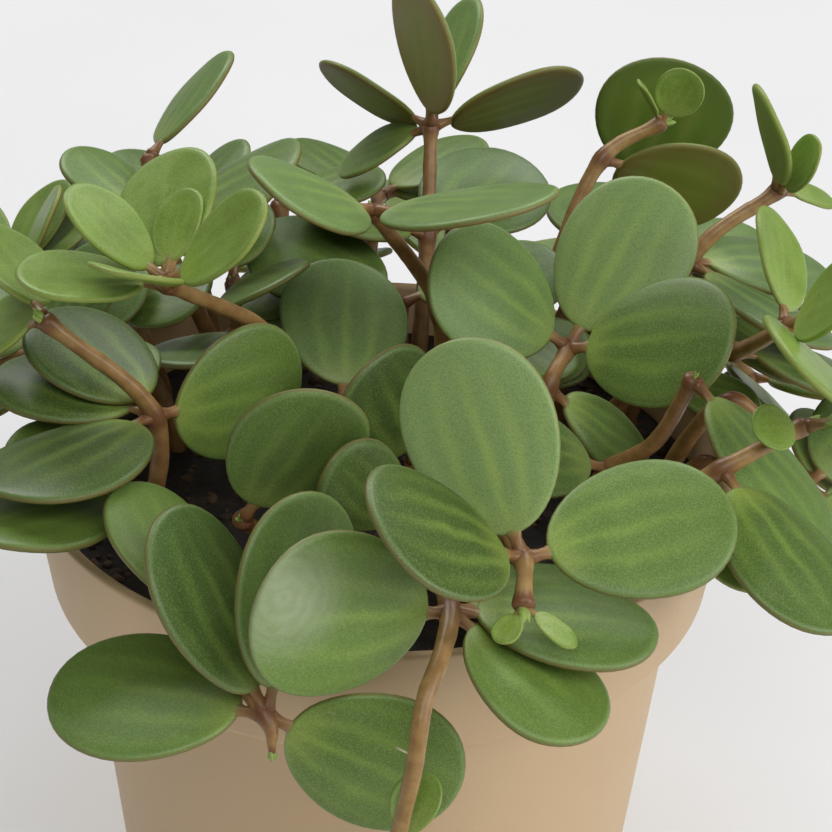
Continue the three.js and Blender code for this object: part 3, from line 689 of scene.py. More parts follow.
pot_shape = Shape()
turned(pot_shape, rounded(POT_CORNERS, POT_ROUNDS), POT_SIDES)
print("pot faces:", len(pot_shape.faces))

# %% [markdown]
# ## The soil
# Potting mix is coir and bark crumbs. A flat disc would look painted, so the top is a fine polar
# grid lifted by broad waves, the same ones the solid has, with small crumbs pressed into it. The
# crumbs are real bodies, because the camera sees them edge-on between the leaves, where a bump in
# the shading can't make an outline.

# %% Soil
SOIL_SIDES = 96
SOIL_GRID = 30
SOIL_EDGE_DROP = 0.5
SOIL_EDGE_STEP = 0.3
SOIL_LEVEL_EDGE = 4
SOIL_GRIT = 0.15
CRUMBS = 520
CRUMB_LEAST, CRUMB_MOST = 0.35, 1.25
CRUMB_SIDES = 8
CRUMB_RINGS = ((-0.6, 0.75), (0.05, 1), (0.65, 0.7))
CRUMB_STRETCH, CRUMB_FLATNESS = (0.75, 1.5), (0.5, 0.85)
CRUMB_PUSH, CRUMB_JITTER = (0.75, 1.2), 0.15
CRUMB_EDGE_GAP = 2
CRUMB_LIFT = 0.1
grain = Draws(7741)


def soil_lumps(x, y):
    """Height of the soil's broad waves at a place, by the same sum as in the solid."""
    broad = sin(x * 0.21 + 1.3) * cos(y * 0.17 - 0.4)
    return SOIL_LUMP * (broad + 0.5 * sin(x * 0.47 - y * 0.39 + 0.8))


def crumb(shape, centre, radius):
    """A lump with eight sides and three rings, each of its points pushed in or out a little."""
    turn = grain.between(0, 2 * pi)
    across, along = [cos(turn), sin(turn), 0], [-sin(turn), cos(turn), 0]
    stretch, flat = grain.between(*CRUMB_STRETCH), grain.between(*CRUMB_FLATNESS)
    rings = []
    for height, wide in CRUMB_RINGS:
        ring = []
        for i in range(CRUMB_SIDES):
            angle = 2 * pi * i / CRUMB_SIDES
            push = wide * radius * grain.between(*CRUMB_PUSH)
            flat_way = times(across, push * stretch * cos(angle))
            place = add(flat_way, times(along, push * sin(angle)))
            rise = radius * flat * (height + grain.between(-CRUMB_JITTER, CRUMB_JITTER))
            ring.append(shape.point(add(centre, [place[0], place[1], rise]), crumb=1))
        rings.append(ring)
    foot, top = [shape.point(add(centre, [0, 0, way * radius * flat]), crumb=1) for way in (-1, 1)]
    shape.closed(rings, foot, top)


soil_shape = Shape("crumb")
soil_edge = outer_radius(SOIL_TOP) - WALL - SOIL_GAP
soil_rings = []
for radius, height in inner_corners(SOIL_GAP)[-2::-1] + [[soil_edge, SOIL_TOP - SOIL_EDGE_DROP]]:
    soil_rings.append(ring_round(soil_shape, [0, 0, height], X_WAY, Y_WAY, radius, radius, SOIL_SIDES))
for step in range(SOIL_GRID):
    radius = (soil_edge - SOIL_EDGE_STEP) * (1 - step / SOIL_GRID)
    ring = []
    for i in range(SOIL_SIDES):
        turn = 2 * pi * i / SOIL_SIDES
        x, y = radius * cos(turn), radius * sin(turn)
        rise = soil_lumps(x, y) * smooth(0, SOIL_LEVEL_EDGE, soil_edge - radius)
        rise += grain.between(-SOIL_GRIT, SOIL_GRIT)
        ring.append(soil_shape.point([x, y, SOIL_TOP + rise]))
    soil_rings.append(ring)
soil_foot = soil_shape.point([0, 0, FLOOR + SOIL_GAP])
soil_shape.closed(soil_rings, soil_foot, soil_shape.point([0, 0, SOIL_TOP + soil_lumps(0, 0)]))
for _ in range(CRUMBS):
    reach = (soil_edge - CRUMB_EDGE_GAP) * sqrt(grain.between(0, 1))
    turn = grain.between(0, 2 * pi)
    x, y = reach * cos(turn), reach * sin(turn)
    radius = CRUMB_LEAST + (CRUMB_MOST - CRUMB_LEAST) * grain.between(0, 1) ** 2
    crumb(soil_shape, [x, y, SOIL_TOP + soil_lumps(x, y) + radius * CRUMB_LIFT], radius)
print("soil faces:", len(soil_shape.faces))

# %% [markdown]
# ## Stems and leaf stalks
# A peperomia stem is round, thick for its length, and swollen where leaves join it. Each one is a
# tube of rings laid along the same curve as in the solid, a little wider at every whorl, and with
# faint rings along it where old leaves came away. A bevelled curve object would be quicker to make,
# and it couldn't swell at the nodes.

# %% Stem and stalk meshes
STEM_SIDES = 14
FINE_STEP = 0.9
SLENDER = 0.82
TIP_SHARE = 0.45
NODE_SWELL, NODE_REACH = 0.4, 1.7
SCAR_SWELL, SCAR_REACH, SCAR_SPACING, SCAR_TINT = 0.06, 0.45, 9, 0.4
DOME_SHARE, DOME_LOW, DOME_TOP = 0.8, 0.5, 0.85
WAVER, WAVER_PACE = 0.03, 0.9
STALK_SIDES = 10
# share of the stalk's length, past 1 inside the blade, then half width and half height
STALK_RINGS = [
    (0.3, 1.2, 1.15), (0.55, 0.95, 0.9), (0.8, 0.8, 0.72),
    (1.05, 0.85, 0.58), (1.3, 1.1, 0.46), (1.7, 1.1, 0.3),
]
STALK_INSIDE = 0.9
STALK_NODE_FADE = 0.6
BLADE_HALF, RIM_HALF = 0.72, 0.54
SLIMMEST, FULL_LENGTH = 0.5, 20


def square_to(direction, hint):
    """Two directions square to the given one, the first as near the hint as can be."""
    across = unit(minus(hint, times(direction, dot(hint, direction))))
    return across, cross(direction, across)


def fine_stem(shape, shoot):
    """A tube of rings from the soil to a small dome at the stem's tip."""
    points = stem_points(shoot, FINE_STEP)
    nodes = [shoot["path"][at] for at, _, _, _ in shoot["whorls"]]
    last = len(points) - 1
    last_node = min(range(last + 1), key=lambda i: apart(points[i], nodes[-1]))
    hint = [1, 0, 0]
    walked = 0
    rings = []
    for i, point in enumerate(points):
        direction = unit(minus(points[min(i + 1, last)], points[max(i - 1, 0)]))
        hint, upward = square_to(direction, hint)
        share = i / last
        node = max(exp(-((apart(point, n) / NODE_REACH) ** 2)) for n in nodes)
        walked += apart(point, points[i - 1]) if i else 0
        off = abs((walked + SCAR_SPACING / 2) % SCAR_SPACING - SCAR_SPACING / 2)
        scar = exp(-((off / SCAR_REACH) ** 2))
        radius = stem_radius(share) * SLENDER + NODE_SWELL * node + SCAR_SWELL * scar
        if i > last_node:
            radius *= 1 - (1 - TIP_SHARE) * (i - last_node) / (last - last_node)
        radius += WAVER * sin(walked * WAVER_PACE + shoot["root"][0])
        values = {"node": max(node, SCAR_TINT * scar), "fresh": shoot["whorls"][-1][1] * share}
        rings.append(ring_round(shape, point, hint, upward, radius, radius, STEM_SIDES, **values))
    tip_values = {"node": 1, "fresh": shoot["whorls"][-1][1]}
    dome_centre = add(points[last], times(direction, DOME_LOW))
    radius *= DOME_SHARE
    rings.append(ring_round(shape, dome_centre, hint, upward, radius, radius, STEM_SIDES, **tip_values))
    tip = shape.point(add(points[last], times(direction, DOME_TOP)), **tip_values)
    shape.closed(rings, shape.point(points[0]), tip)


def fine_stalk(shape, leaf):
    """From inside the stem to just inside the blade, round at first and flatter at the blade."""
    small = YOUNG_STALK_SHARE if leaf["length"] < YOUNG_LENGTH else 1
    reach = LEAF_STALK * small
    rings = []
    for share, wide, high in STALK_RINGS:
        along = (share - 1) * reach
        if along < 0:
            centre = add(leaf["node"], times(leaf["d"], reach * share))
        else:
            centre = leaf_point(leaf, along, 0)
        values = {"node": 1 - share * STALK_NODE_FADE, "fresh": leaf["young"], "stalk": share}
        rings.append(ring_round(
            shape, centre, leaf["n"], leaf["s"], high * small, wide * small, STALK_SIDES, **values
        ))
    foot = shape.point(leaf["node"], node=1, fresh=leaf["young"])
    end = leaf_point(leaf, STALK_INSIDE * reach, 0)
    shape.closed(rings, foot, shape.point(end, fresh=leaf["young"], stalk=1 + STALK_INSIDE))


# %% [markdown]
# ## Leaf blades
# The blades are what the eye goes to. They are about 1.5 mm thick, so their rims are rounded and
# catch the light, and old ones roll down at the rim while young ones still cup upward. Each blade is
# meshed in rings from its middle out, round the rim and back under, so the rings follow the outline
# and the rim stays smooth however close the camera comes.

# %% Blade mesh
BLADE_POINTS = 44
TOP_SHARES = [0.15, 0.3, 0.45, 0.6, 0.73, 0.84, 0.92]
UNDER_SHARES = [0.93, 0.75, 0.45, 0.15]
RIM_TURNS = [90, 54, 18, -18, -54, -90]
BLADE_TRIM = 0.955
ROLL, ROLL_YOUNG, ROLL_FROM = -0.14, 0.08, 0.7
RIPPLE = 0.09
RIPPLE_WAVES = ((2, 1), (5, 0.7))
PALE_LEAST, PALE_MOST = 0.05, 0.5
ripples = Draws(915)


def fine_blade(shape, leaf):
    """One leaf: rings over its upper side, round its rim and back under it."""
    length, width, young = leaf["length"], leaf["width"], leaf["young"]
    slim = min(1, max(SLIMMEST, length / FULL_LENGTH))
    rim_half, blade_half = RIM_HALF * slim, BLADE_HALF * slim
    edge = rim_half / (width / 2)
    phases = [ripples.between(0, 2 * pi) for _ in RIPPLE_WAVES]
    known = {"young": young, "long": length, "wide": width}
    drawn_tone = ripples.between(0, 1), ripples.between(PALE_LEAST, PALE_MOST)
    known["tint"], known["pale"] = leaf.get("tone", drawn_tone)
    known.update(silver=leaf.get("silver", 0), scar=leaf.get("scar", 0))

    def place(share, turn, lift, under):
        u, v = outline(leaf, turn, share)
        rise = lift + (ROLL + (ROLL_YOUNG - ROLL) * young) * smooth(ROLL_FROM, 1, share)
        for (count, strength), phase in zip(RIPPLE_WAVES, phases):
            rise += RIPPLE * share * share * strength * sin(count * turn + phase)
        known.update(along=u / length, side=2 * v / width, under=under)
        return shape.point(leaf_point(leaf, u, v, rise), **known)

    turns = [2 * pi * i / BLADE_POINTS for i in range(BLADE_POINTS)]
    rings = []
    flat_share = BLADE_TRIM - edge
    for share in TOP_SHARES:
        half = blade_half - (blade_half - rim_half) * share * share
        rings.append([place(share * flat_share, turn, half, 0) for turn in turns])
    for degrees in RIM_TURNS:
        out = BLADE_TRIM - edge * (1 - cos(radians(degrees)))
        lift = rim_half * sin(radians(degrees))
        rings.append([place(out, turn, lift, 0.5 - lift / rim_half / 2) for turn in turns])
    for share in UNDER_SHARES:
        half = blade_half - (blade_half - rim_half) * share * share
        rings.append([place(share * flat_share, turn, -half, 1) for turn in turns])
    shape.closed(rings, place(0, 0, blade_half, 0), place(0, 0, -blade_half, 1))


# %% [markdown]
# ## Buds
# At the end of a stem the next leaves are still folded into a small pointed bud. Three closed
# scales, each a narrow drop shape, are enough at this size.

# %% Buds
BUD_LENGTH, BUD_WIDE, BUD_FLATNESS = 3.2, 0.75, 0.7
OLD_BUD = 0.55
BUD_SIDES = 10
BUD_RINGS = ((0, 0.55), (0.2, 0.95), (0.45, 1), (0.7, 0.72), (0.9, 0.34))
BUD_HINT = [0.3, 1, 0.2]
BUD_TINT, BUD_FRESHER = 0.5, 0.3
BUD_ALONG, BUD_TIP_ALONG = 0.5, 0.8
# way round the stem and lean outward of each scale
BUD_SCALES = ((0, 0.15), (2.2, 0.5), (4.3, 0.42))
LEAN_SHORTER = 0.5


def bud(shape, foot, direction, length, wide, young):
    """One closed scale, drop shaped and a little flat."""
    across, upward = square_to(direction, BUD_HINT)
    rings = []
    for share, swell in BUD_RINGS:
        centre = add(foot, times(direction, length * share))
        values = {"young": young, "tint": BUD_TINT, "long": length, "wide": wide}
        values["along"] = BUD_ALONG + share / 3
        out, up = wide * swell, wide * swell * BUD_FLATNESS
        rings.append(ring_round(shape, centre, across, upward, out, up, BUD_SIDES, **values))
    ends = ((foot, BUD_ALONG), (add(foot, times(direction, length)), BUD_TIP_ALONG))
    shape.closed(rings, *[shape.point(end, young=young, tint=BUD_TINT, along=at) for end, at in ends])


def buds(shape, shoot):
    """The scales at a stem's tip, larger where its last leaves are young."""
    points = stem_points(shoot, FINE_STEP)
    ahead = unit(minus(points[-1], points[-4]))
    across, upward = square_to(ahead, [0, 0, 1])
    young = shoot["whorls"][-1][1]
    grown = OLD_BUD + (1 - OLD_BUD) * young
    for way, lean in BUD_SCALES:
        outward = add(times(across, lean * cos(way)), times(upward, lean * sin(way)))
        length = BUD_LENGTH * (1 - LEAN_SHORTER * lean) * grown
        bud(shape, points[-1], unit(add(ahead, outward)), length, BUD_WIDE * grown, young + BUD_FRESHER)

# %% [markdown]
# ## Shader maths as plain sums
# A finish in Blender is a net of nodes. Wiring each Math node by hand hides what is being worked out,
# so this small class wraps a socket and gives it plus, minus, times and so on. An expression such as
# 1 - mask * 0.5 then adds its own nodes and reads like the sum it is.

# %% Wire
# A Mix node has like-named sockets for each kind of data, so its colour ones go by their places.
MIX_MASK, MIX_FIRST, MIX_SECOND, MIX_RESULT = 0, 6, 7, 2


def both_ways(operation):
    """An operator's method and its reflected form, each of which adds a node for the operation."""
    return (
        lambda self, other: self.maths(operation, self, other),
        lambda self, other: self.maths(operation, other, self),
    )


class Wire:
    """A node's output socket that can be used in sums."""

    def __init__(self, tree, socket):
        self.tree, self.socket = tree, socket

    def node(self, kind, settings=None, sockets=None, output=0):
        """Any node: its settings first, then a value or a link for each named socket."""
        made = self.tree.nodes.new(kind)
        for name, value in (settings or {}).items():
            setattr(made, name, value)
        for name, value in (sockets or {}).items():
            if isinstance(value, Wire):
                self.tree.links.new(value.socket, made.inputs[name])
            else:
                made.inputs[name].default_value = value
        return Wire(self.tree, made.outputs[output])

    def maths(self, operation, *values):
        """One Math node, or a Vector Math node when this or another value is a vector."""
        vector = any(isinstance(v, Wire) and v.socket.type == "VECTOR" for v in (self, *values))
        kind = "ShaderNodeVectorMath" if vector else "ShaderNodeMath"
        if vector:
            values = [v if isinstance(v, Wire) else (v, v, v) for v in values]
        return self.node(kind, {"operation": operation}, dict(enumerate(values)))

    __add__, __radd__ = both_ways("ADD")
    __sub__, __rsub__ = both_ways("SUBTRACT")
    __mul__, __rmul__ = both_ways("MULTIPLY")
    __truediv__, __rtruediv__ = both_ways("DIVIDE")
    __pow__, __rpow__ = both_ways("POWER")

    def __abs__(self):
        return self.maths("ABSOLUTE", self)

    def most(self, other):
        return self.maths("MAXIMUM", self, other)

    def wave(self):
        return self.maths("SINE", self)

    def smooth(self, low, high):
        """0 below low, 1 above high, and a soft slope between; low may be the larger one."""
        if low > high:
            return 1 - self.smooth(high, low)
        limits = {"Value": self, "From Min": low, "From Max": high}
        return self.node("ShaderNodeMapRange", {"interpolation_type": "SMOOTHSTEP"}, limits)

    def bell(self, middle, reach):
        """1 at the middle and 0 a reach away from it."""
        return abs(self - middle).smooth(reach, 0)

    def mix(self, first, second):
        """The first colour where this mask is 0 or less and the second where it is 1 or more."""
        first, second = [c if isinstance(c, Wire) else (*c, 1) for c in (first, second)]
        sockets = {MIX_MASK: self, MIX_FIRST: first, MIX_SECOND: second}
        return self.node("ShaderNodeMix", {"data_type": "RGBA"}, sockets, MIX_RESULT)


# %% Finish
class Finish:
    """A material with its shader, and short names for what finishes read."""

    def __init__(self, name):
        self.material = bpy.data.materials.new(name)
        self.material.use_nodes = True
        tree = self.material.node_tree
        self.shader = tree.nodes["Principled BSDF"]
        self.wire = Wire(tree, self.shader.outputs[0])
        self.place = self.wire.node("ShaderNodeTexCoord", output="Object")

    def value(self, name):
        """The number with this name that the mesh keeps on its points."""
        return self.wire.node("ShaderNodeAttribute", {"attribute_name": name}, output="Fac")

    def noise(self, grain_mm, detail=2, rough=0.5):
        """Soft noise from 0 to 1 whose patches are about the given size across."""
        place = self.place * (1 / (grain_mm * MM))
        sockets = {"Vector": place, "Scale": 1, "Detail": detail, "Roughness": rough}
        return self.wire.node("ShaderNodeTexNoise", None, sockets)

    def set(self, **sockets):
        """Give the shader's sockets values or wires; an underscore in a name stands for a space."""
        for name, value in sockets.items():
            socket = self.shader.inputs[name.replace("_", " ")]
            if isinstance(value, Wire):
                self.wire.tree.links.new(value.socket, socket)
            else:
                socket.default_value = value

    def bump(self, height, distance_mm, strength):
        """Small relief that the light sees, without moving any point."""
        sockets = {"Height": height, "Distance": distance_mm * MM, "Strength": strength}
        self.set(Normal=self.wire.node("ShaderNodeBump", None, sockets))


def screen(red, green, blue):
    """A colour as seen on a screen, 0 to 255, turned into the light values a shader works in."""
    return tuple(((c / 255 + 0.055) / 1.055) ** 2.4 for c in (red, green, blue))


# %% [markdown]
# ## The pot's finish
# Moulded plastic, tan and satin. On the real pot the colour is even with a very fine speckle, and
# the sheen breaks up a little over the surface. Noise at three sizes gives that: a fine one for the
# speckle, a middling one for the sheen, and a broad one for slight changes of tone.

# %% Pot finish
pot_finish = Finish("pot_plastic")
speckle = pot_finish.noise(0.35, 3)
broad = pot_finish.noise(22, 2)
DEEP_TAN, LIGHT_TAN = screen(206, 176, 136), screen(217, 188, 149)
pot_finish.set(
    Base_Color=(broad * 0.5 + speckle * 0.5).mix(DEEP_TAN, LIGHT_TAN),
    Roughness=0.46 + pot_finish.noise(1.4, 3) * 0.16,
    IOR=1.46,
)
pot_finish.bump(speckle, 0.03, 0.5)

# %% [markdown]
# ## The soil's finish
# Moist potting mix is near black, with brown bark showing on the crumbs. It has almost no sheen, so
# its roughness is high and its bump is strong.

# %% Soil finish
soil_finish = Finish("soil_mix")
soil_grain = soil_finish.noise(0.8, 5, rough=0.65)
bark = soil_finish.noise(2.6, 2) * (0.5 + soil_finish.value("crumb") * 0.5)
MOIST_BLACK, BARK_BROWN = screen(27, 22, 18), screen(92, 70, 50)
soil_finish.set(
    Base_Color=(bark * 0.6 + soil_grain * 0.4).smooth(0.3, 0.72).mix(MOIST_BLACK, BARK_BROWN),
    Roughness=0.78 + soil_grain * 0.2,
)
soil_finish.bump(soil_grain, 0.5, 0.8)

# %% [markdown]
# ## The stems' finish
# Stem is smooth and light brown, redder and darker where leaves join it, lighter where it is young,
# and green where a leaf stalk meets its blade. Its skin is waxy, so a soft highlight runs along it.
# Only a little noise is used: the real stems are nearly plain, and strong noise would look like bark.

# %% Stem finish
stem_finish = Finish("stem_skin")
clouds = stem_finish.noise(2.2, 2)
flecks = stem_finish.noise(0.35, 2)
stem_tone = (clouds * 0.75 + flecks * 0.25).smooth(0.3, 0.7)
NODE_RED, STALK_GREEN = screen(108, 66, 42), screen(138, 140, 84)
old_stem = stem_tone.mix(screen(130, 95, 56), screen(160, 123, 76))
young_stem = stem_tone.mix(screen(146, 112, 64), screen(170, 138, 86))
stem_colour = stem_finish.value("fresh").smooth(0.3, 1).mix(old_stem, young_stem)
node_mask = stem_finish.value("node").smooth(0.15, 0.95) * 0.8
blade_end = stem_finish.value("stalk").smooth(1.05, 1.5)
stem_colour = blade_end.mix(node_mask.mix(stem_colour, NODE_RED), STALK_GREEN)
stem_finish.set(Base_Color=stem_colour, Roughness=0.3 + flecks * 0.14, IOR=1.45)
stem_finish.bump(clouds * 0.5 + flecks * 0.5, 0.05, 0.5)

# %% [markdown]
# ## The leaves' finish
# A leaf's stripes follow its shape, so the finish works in the leaf's own terms. Each point knows how
# far along the leaf it is and how far to the side. Dividing the side by the leaf's half width there
# gives lines that leave the base together, spread, and meet again at the tip, as the real stripes do.
# On this plant they are faint and soft, a little lighter and yellower than the green between them.

# %% Leaf coordinates
leaf_finish = Finish("leaf_skin")
LEAF_VALUES = ("along", "side", "under", "young", "tint", "pale", "long", "wide", "silver", "scar")
read = [leaf_finish.value(name) for name in LEAF_VALUES]
along, side, under, young, tint, pale, long_mm, wide_mm, has_silver, has_scar = read
lengthwise = along * 2 - 1
half_width = ((1 - lengthwise * lengthwise).most(0.02) ** 0.5) * (1 + BLADE_SHAPE * lengthwise)
across = side / half_width
from_middle = (lengthwise * lengthwise + (side / (1 + BLADE_SHAPE * lengthwise)) ** 2) ** 0.5
rim_mm = (1 - from_middle) * wide_mm / 2

# %% Stripes and grain
granules = leaf_finish.noise(0.24, 2, rough=0.7)
patches = leaf_finish.noise(5, 2)
# where each stripe runs, from the middle at 0 to the rim at 1, its reach and its strength
STRIPES = ((0, 0.13, 1), (0.4, 0.16, 0.8), (0.76, 0.13, 0.35))
WANDER = 0.22
line = abs(across + (patches - 0.5) * WANDER)
stripes = sum(line.bell(middle, reach) * strength for middle, reach, strength in STRIPES)
stripes = stripes * along.smooth(1.05, 0.35) * along.smooth(0.02, 0.18) * (0.5 + patches)
near_base = ((along * long_mm) ** 2 + (side * wide_mm * 0.4) ** 2) ** 0.5

# %% Upper side
STRIPE_SHOWS, YOUNG_STRIPE_SHOWS, UNDER_STRIPE_SHOWS = 0.36, 0.2, 0.3
BASE_SHEEN_REACH, BASE_SHEEN_SHOWS = 7, 0.65
PALE_GRAIN_SHOWS, DARK_GRAIN_SHOWS = 0.2, 0.22
dark_green = tint.mix(screen(74, 98, 30), screen(72, 99, 48))
light_green = tint.mix(screen(122, 152, 60), screen(120, 150, 86))
grown = (pale * 0.75 + patches * 0.35 - 0.05).mix(dark_green, light_green)
# paleness past 1 and below 0 leads on to a paler and a darker green. Paleness is partly each leaf's own
# lightness and partly painted light and painted shade for how brightly the leaf is lit.
grown = (pale - 1).mix(grown, screen(182, 202, 138))
grown = (0 - pale).mix(grown, screen(34, 46, 18))
stripe_colour = (pale - 0.6).mix(screen(146, 176, 74), screen(206, 224, 122))
grown = (stripes * STRIPE_SHOWS).mix(grown, stripe_colour)
fresh = patches.smooth(0.3, 0.7).mix(screen(116, 144, 50), screen(130, 158, 64))
fresh = (stripes * YOUNG_STRIPE_SHOWS).mix(fresh, screen(160, 186, 88))
top = young.smooth(0.15, 0.8).mix(grown, fresh)
# A pale patch near each leaf's base is painted sheen, for the soft reflection where the blade curves
# near its base.
base_sheen_colour = tint.mix(screen(150, 174, 66), screen(160, 178, 104))
top = (near_base.smooth(BASE_SHEEN_REACH, 0.5) * BASE_SHEEN_SHOWS).mix(top, base_sheen_colour)
top = (granules.smooth(0.48, 0.66) * PALE_GRAIN_SHOWS).mix(top, screen(172, 190, 132))
top = (granules.smooth(0.52, 0.34) * DARK_GRAIN_SHOWS).mix(top, screen(58, 80, 36))

# %% Under side, painted rim sheen and rim line
RIM_SHEEN_IN, RIM_SHEEN_REACH, RIM_SHEEN_SHOWS = 0.75, 0.5, 0.2
RIM_LINE_SHOWS, YOUNG_RIM_LESS = 0.75, 0.35
under_middle = tint.mix(screen(86, 110, 28), screen(136, 138, 44))
under_rim = tint.mix(screen(78, 98, 28), screen(138, 104, 52))
below = from_middle.smooth(0.35, 1).mix(under_middle, under_rim)
# On the underside too, paleness past 1 and below 0 is painted light and painted shade.
below = (pale - 1).mix(below, screen(196, 196, 130))
below = (0 - pale).mix(below, screen(34, 40, 12))
below = young.smooth(0.5, 0.9).mix(below, screen(142, 168, 74))
below = (stripes * UNDER_STRIPE_SHOWS).mix(below, screen(136, 142, 70))
skin = under.smooth(0.45, 0.8).mix(top, below)
# A pale band just inside the rim on the upper side is painted sheen, for the light that the rounded rim
# reflects.
rim_sheen = rim_mm.bell(RIM_SHEEN_IN, RIM_SHEEN_REACH) * (1 - under)
skin = (rim_sheen * RIM_SHEEN_SHOWS).mix(skin, screen(160, 186, 118))
rim_line = under.smooth(0.14, 0.36) * under.smooth(0.76, 0.6)
rim_colour = young.smooth(0.2, 0.8).mix(screen(122, 110, 60), screen(158, 156, 86))
skin = (rim_line * (RIM_LINE_SHOWS - young * YOUNG_RIM_LESS)).mix(skin, rim_colour)

# %% Crinkled patch with painted sheen, and scar
# The front leaf has a crinkled patch near its tip whose silvery colour is painted sheen, and a leaf
# under it has a short pale scar.
SHEEN_ALONG, SHEEN_SIDE, SHEEN_REACH, SHEEN_FULL = 0.84, -0.25, 10.5, 2.5
CRINKLE_PACE, CRINKLE_BEND, CRINKLE_RIPPLE = 4, 15, 5
SCAR_ALONG, SCAR_SIDE, SCAR_HALF, SCAR_CORE = 0.6, 0.35, 0.22, 0.1
from_patch = (((along - SHEEN_ALONG) * long_mm) ** 2 + ((side - SHEEN_SIDE) * wide_mm / 2) ** 2) ** 0.5
silver = has_silver * from_patch.smooth(SHEEN_REACH, SHEEN_FULL) * (1 - under)
ripple = leaf_finish.noise(2, 2)
crinkles = (from_patch * CRINKLE_PACE + patches * CRINKLE_BEND + ripple * CRINKLE_RIPPLE).wave()
# The patch's silvery colour is painted sheen, varied by the crinkles and patches; the crinkles are also
# relief.
silver_tone = silver * (0.6 + crinkles * 0.06 + (patches - 0.5) * 0.6)
skin = silver_tone.mix(skin, screen(176, 188, 154))
scar_mm = abs((side - SCAR_SIDE) * wide_mm / 2 + (along - SCAR_ALONG) * 2)
scar = has_scar * scar_mm.smooth(SCAR_HALF, SCAR_CORE) * along.bell(SCAR_ALONG, 0.07)
skin = scar.mix(skin, screen(206, 196, 160))

# %% Leaf finish
leaf_finish.set(
    Base_Color=skin,
    Roughness=0.3 + granules * 0.1 + patches * 0.1 + under * 0.14,
    Subsurface_Weight=0.1,
    Subsurface_Radius=(0.6, 1.0, 0.2),
    Subsurface_Scale=0.0012,
    IOR=1.45,
)
relief = granules * 0.3 + patches * 0.5 - stripes * 0.12 + silver * crinkles * 0.35
leaf_finish.bump(relief, 0.12, 0.6)
print("finishes:", [m.name for m in bpy.data.materials])

# %% [markdown]
# ## Building the pieces
# Each leafy stem becomes two or three meshes: the stem with its leaf stalks, the grown leaves and
# the young leaves. They stay apart because stem, leaf and young leaf are separate slots of the part,
# so that each can be given another material.

# %% Pieces
pot_shape.piece("pot_shell", pot_finish.material, "pot", slot="pot")
soil_shape.piece("soil_bed", soil_finish.material, "soil", slot="soil")
YOUNG_FROM = 0.4


def leaf_of(name, number):
    """The leaf with the given number, counted from 0, on the leafy stem with the given name."""
    return [leaf for leaf in leaves if leaf["shoot"]["name"] == name][number]


# The front leaf gets the crinkled patch with painted silvery sheen.
leaf_of("front", 0)["silver"] = 1
leaf_of("front_left", 2)["scar"] = 1
# Tint and paleness of fitted leaves, set one by one until mean shades came close to the photograph's.
# Beside each leaf's own tint and lightness, these paleness values paint light on some leaves and painted
# shade on others, for how brightly each leaf is lit.
LEAF_TONES_AND_PAINTED_LIGHT = {
    "front": [(0.3, 0.75), (0.2, 0.6), (0.5, 0.4), (0.5, 0.5)],
    "front_right": [(0.9, 1.2), (0.4, 0.5), (0.2, -0.25)],
    "front_left": [(0.3, 0.85), (0.4, 0.6), (0.1, 0.4), (0.6, -0.05), (0.7, 0.6)],
    "inner_left": [(0.5, 0.5)],
    "inner": [(0.9, 0.8)],
    "inner_front": [(0.5, -0.2)],
    "inner_low": [(0.4, 0)],
    "middle_right": [(0.5, 0.3), (0.8, 0.85), (0.8, 1.15), (0.3, 0.3)],
    "left": [(0.3, -0.2), (0.3, -0.25), (0.4, -0.1), (0.3, 0.45)],
    "crown": [(1, 0.7), (1, 0.7)],
    "rear": [(1, 1.28), (0.6, -0.3), (0.5, 0.5), (0.5, 0.5), (1, 0.5)],
    "rear_right": [(0, 0.5)],
    "upper_right": [(0.4, 0.5)],
    "rear_left": [(0.5, 0.4), (0.5, 0.4), (0.9, 0.6)],
}
for name, tones_and_painted_light in LEAF_TONES_AND_PAINTED_LIGHT.items():
    for number, tone in enumerate(tones_and_painted_light):
        leaf_of(name, number)["tone"] = tone
for shoot in shoots:
    own = [leaf for leaf in leaves if leaf["shoot"] is shoot]
    node = f"shoot_{shoot['name']}"
    stem_shape = Shape("node", "fresh", "stalk")
    fine_stem(stem_shape, shoot)
    for leaf in own:
        fine_stalk(stem_shape, leaf)
    stem_shape.piece(f"stem_{shoot['name']}", stem_finish.material, node, slot="stem")
    for kind, is_young in (("leaf", False), ("young_leaf", True)):
        shape = Shape(*LEAF_VALUES)
        for leaf in own:
            if (leaf["young"] > YOUNG_FROM) == is_young:
                fine_blade(shape, leaf)
        if (shoot["whorls"][-1][1] > YOUNG_FROM) == is_young:
            buds(shape, shoot)
        if shape.faces:
            shape.piece(f"{kind}_{shoot['name']}", leaf_finish.material, node, slot=kind)

# %% [markdown]
# ## Floor, light and camera
# The plant stands on a plain pale floor that fills the picture. Five round soft boxes stand about it,
# and the right one gives the pot its shaded left side. How bright each one is came from pictures lit
# by one box at a time, weighed by least squares against the photograph's shades, and then rounded.
# The camera looks down at about thirty degrees through a long lens. Its place was fitted to the
# pot's rim, collar and taper.

# %% Floor
floor_finish = Finish("floor_paint")
floor_tone = floor_finish.noise(180, 2).smooth(0.2, 0.8)
floor_finish.set(
    Base_Color=floor_tone.mix(screen(226, 226, 227), screen(232, 232, 233)),
    Roughness=0.7 + floor_finish.noise(3, 2) * 0.1,
)
FLOOR_HALF = 6000
FLOOR_DROP = 0.05
floor_shape = Shape()
for x, y in ((-1, -1), (1, -1), (1, 1), (-1, 1)):
    floor_shape.point([x * FLOOR_HALF, y * FLOOR_HALF, -FLOOR_DROP])
floor_shape.faces.append((0, 1, 2, 3))
floor_shape.piece("floor", floor_finish.material)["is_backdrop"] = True


# %% Lights
LIGHT_AWAY, LIGHT_WIDE = 1.25, 0.7
LIT_PLACE = Vector((0, 0, 0.09))
WORLD_STRENGTH = 0.12
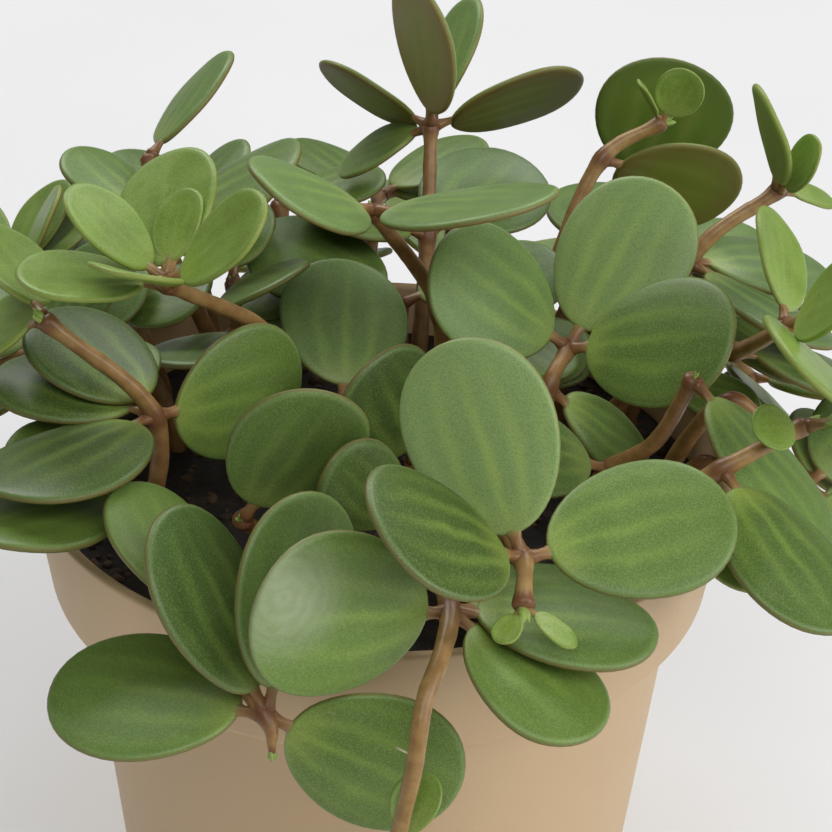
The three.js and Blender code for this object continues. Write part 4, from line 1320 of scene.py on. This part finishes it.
# compass way from the plant and height, in degrees, and watts
SOFT_BOXES = {
    "right": (-20, 20, 5.8),
    "front_right": (-45, 45, 2.8),
    "front": (-90, 50, 4.4),
    "back_right": (60, 45, 5.0),
    "back_left": (120, 45, 7.2),
}
for name, (compass, height, watts) in SOFT_BOXES.items():
    lamp = bpy.data.lights.new(name, "AREA")
    lamp.shape, lamp.size, lamp.energy = "DISK", LIGHT_WIDE, watts
    box = bpy.data.objects.new(name, lamp)
    turn, climb = radians(compass), radians(height)
    away = Vector((cos(climb) * cos(turn), cos(climb) * sin(turn), sin(climb)))
    box.location = LIT_PLACE + away * LIGHT_AWAY
    box.rotation_euler = (-away).to_track_quat("-Z", "Y").to_euler()
    bpy.context.scene.collection.objects.link(box)
print("soft boxes:", len(SOFT_BOXES))
world = bpy.data.worlds.new("studio")
world.use_nodes = True
backdrop = world.node_tree.nodes["Background"]
backdrop.inputs["Color"].default_value = (1, 1, 1, 1)
backdrop.inputs["Strength"].default_value = WORLD_STRENGTH
bpy.context.scene.world = world

# %% Camera
LENS, SENSOR = 102.08, 36
LOOK_DOWN = radians(31.25)
PICTURE_ROLL = radians(1.69)
DISTANCE = 0.3511
NEAREST, FARTHEST = 0.01, 50
TARGET = Vector((0.005, 0, 0.0973))
ahead = Vector((0, cos(LOOK_DOWN), -sin(LOOK_DOWN)))
level, upright = Vector((1, 0, 0)), Vector((0, sin(LOOK_DOWN), cos(LOOK_DOWN)))
right = level * cos(PICTURE_ROLL) + upright * sin(PICTURE_ROLL)
above = upright * cos(PICTURE_ROLL) - level * sin(PICTURE_ROLL)
lens = bpy.data.cameras.new("camera")
lens.lens, lens.sensor_width = LENS, SENSOR
lens.clip_start, lens.clip_end = NEAREST, FARTHEST
camera = bpy.data.objects.new("camera", lens)
facing = Matrix((right, above, -ahead)).transposed().to_4x4()
camera.matrix_world = Matrix.Translation(TARGET - ahead * DISTANCE) @ facing
bpy.context.scene.collection.objects.link(camera)
bpy.context.scene.camera = camera
bpy.context.scene.view_settings.view_transform = "Standard"
print("camera at:", [round(c, 3) for c in TARGET - ahead * DISTANCE])

# %% Sizes
shown_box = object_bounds()
sizes = {"cad": [list(c) for c in cad_box], "shown": [list(c) for c in shown_box]}
for name, box in sizes.items():
    print(name, [[round(c / MM, 2) for c in corner] for corner in box])
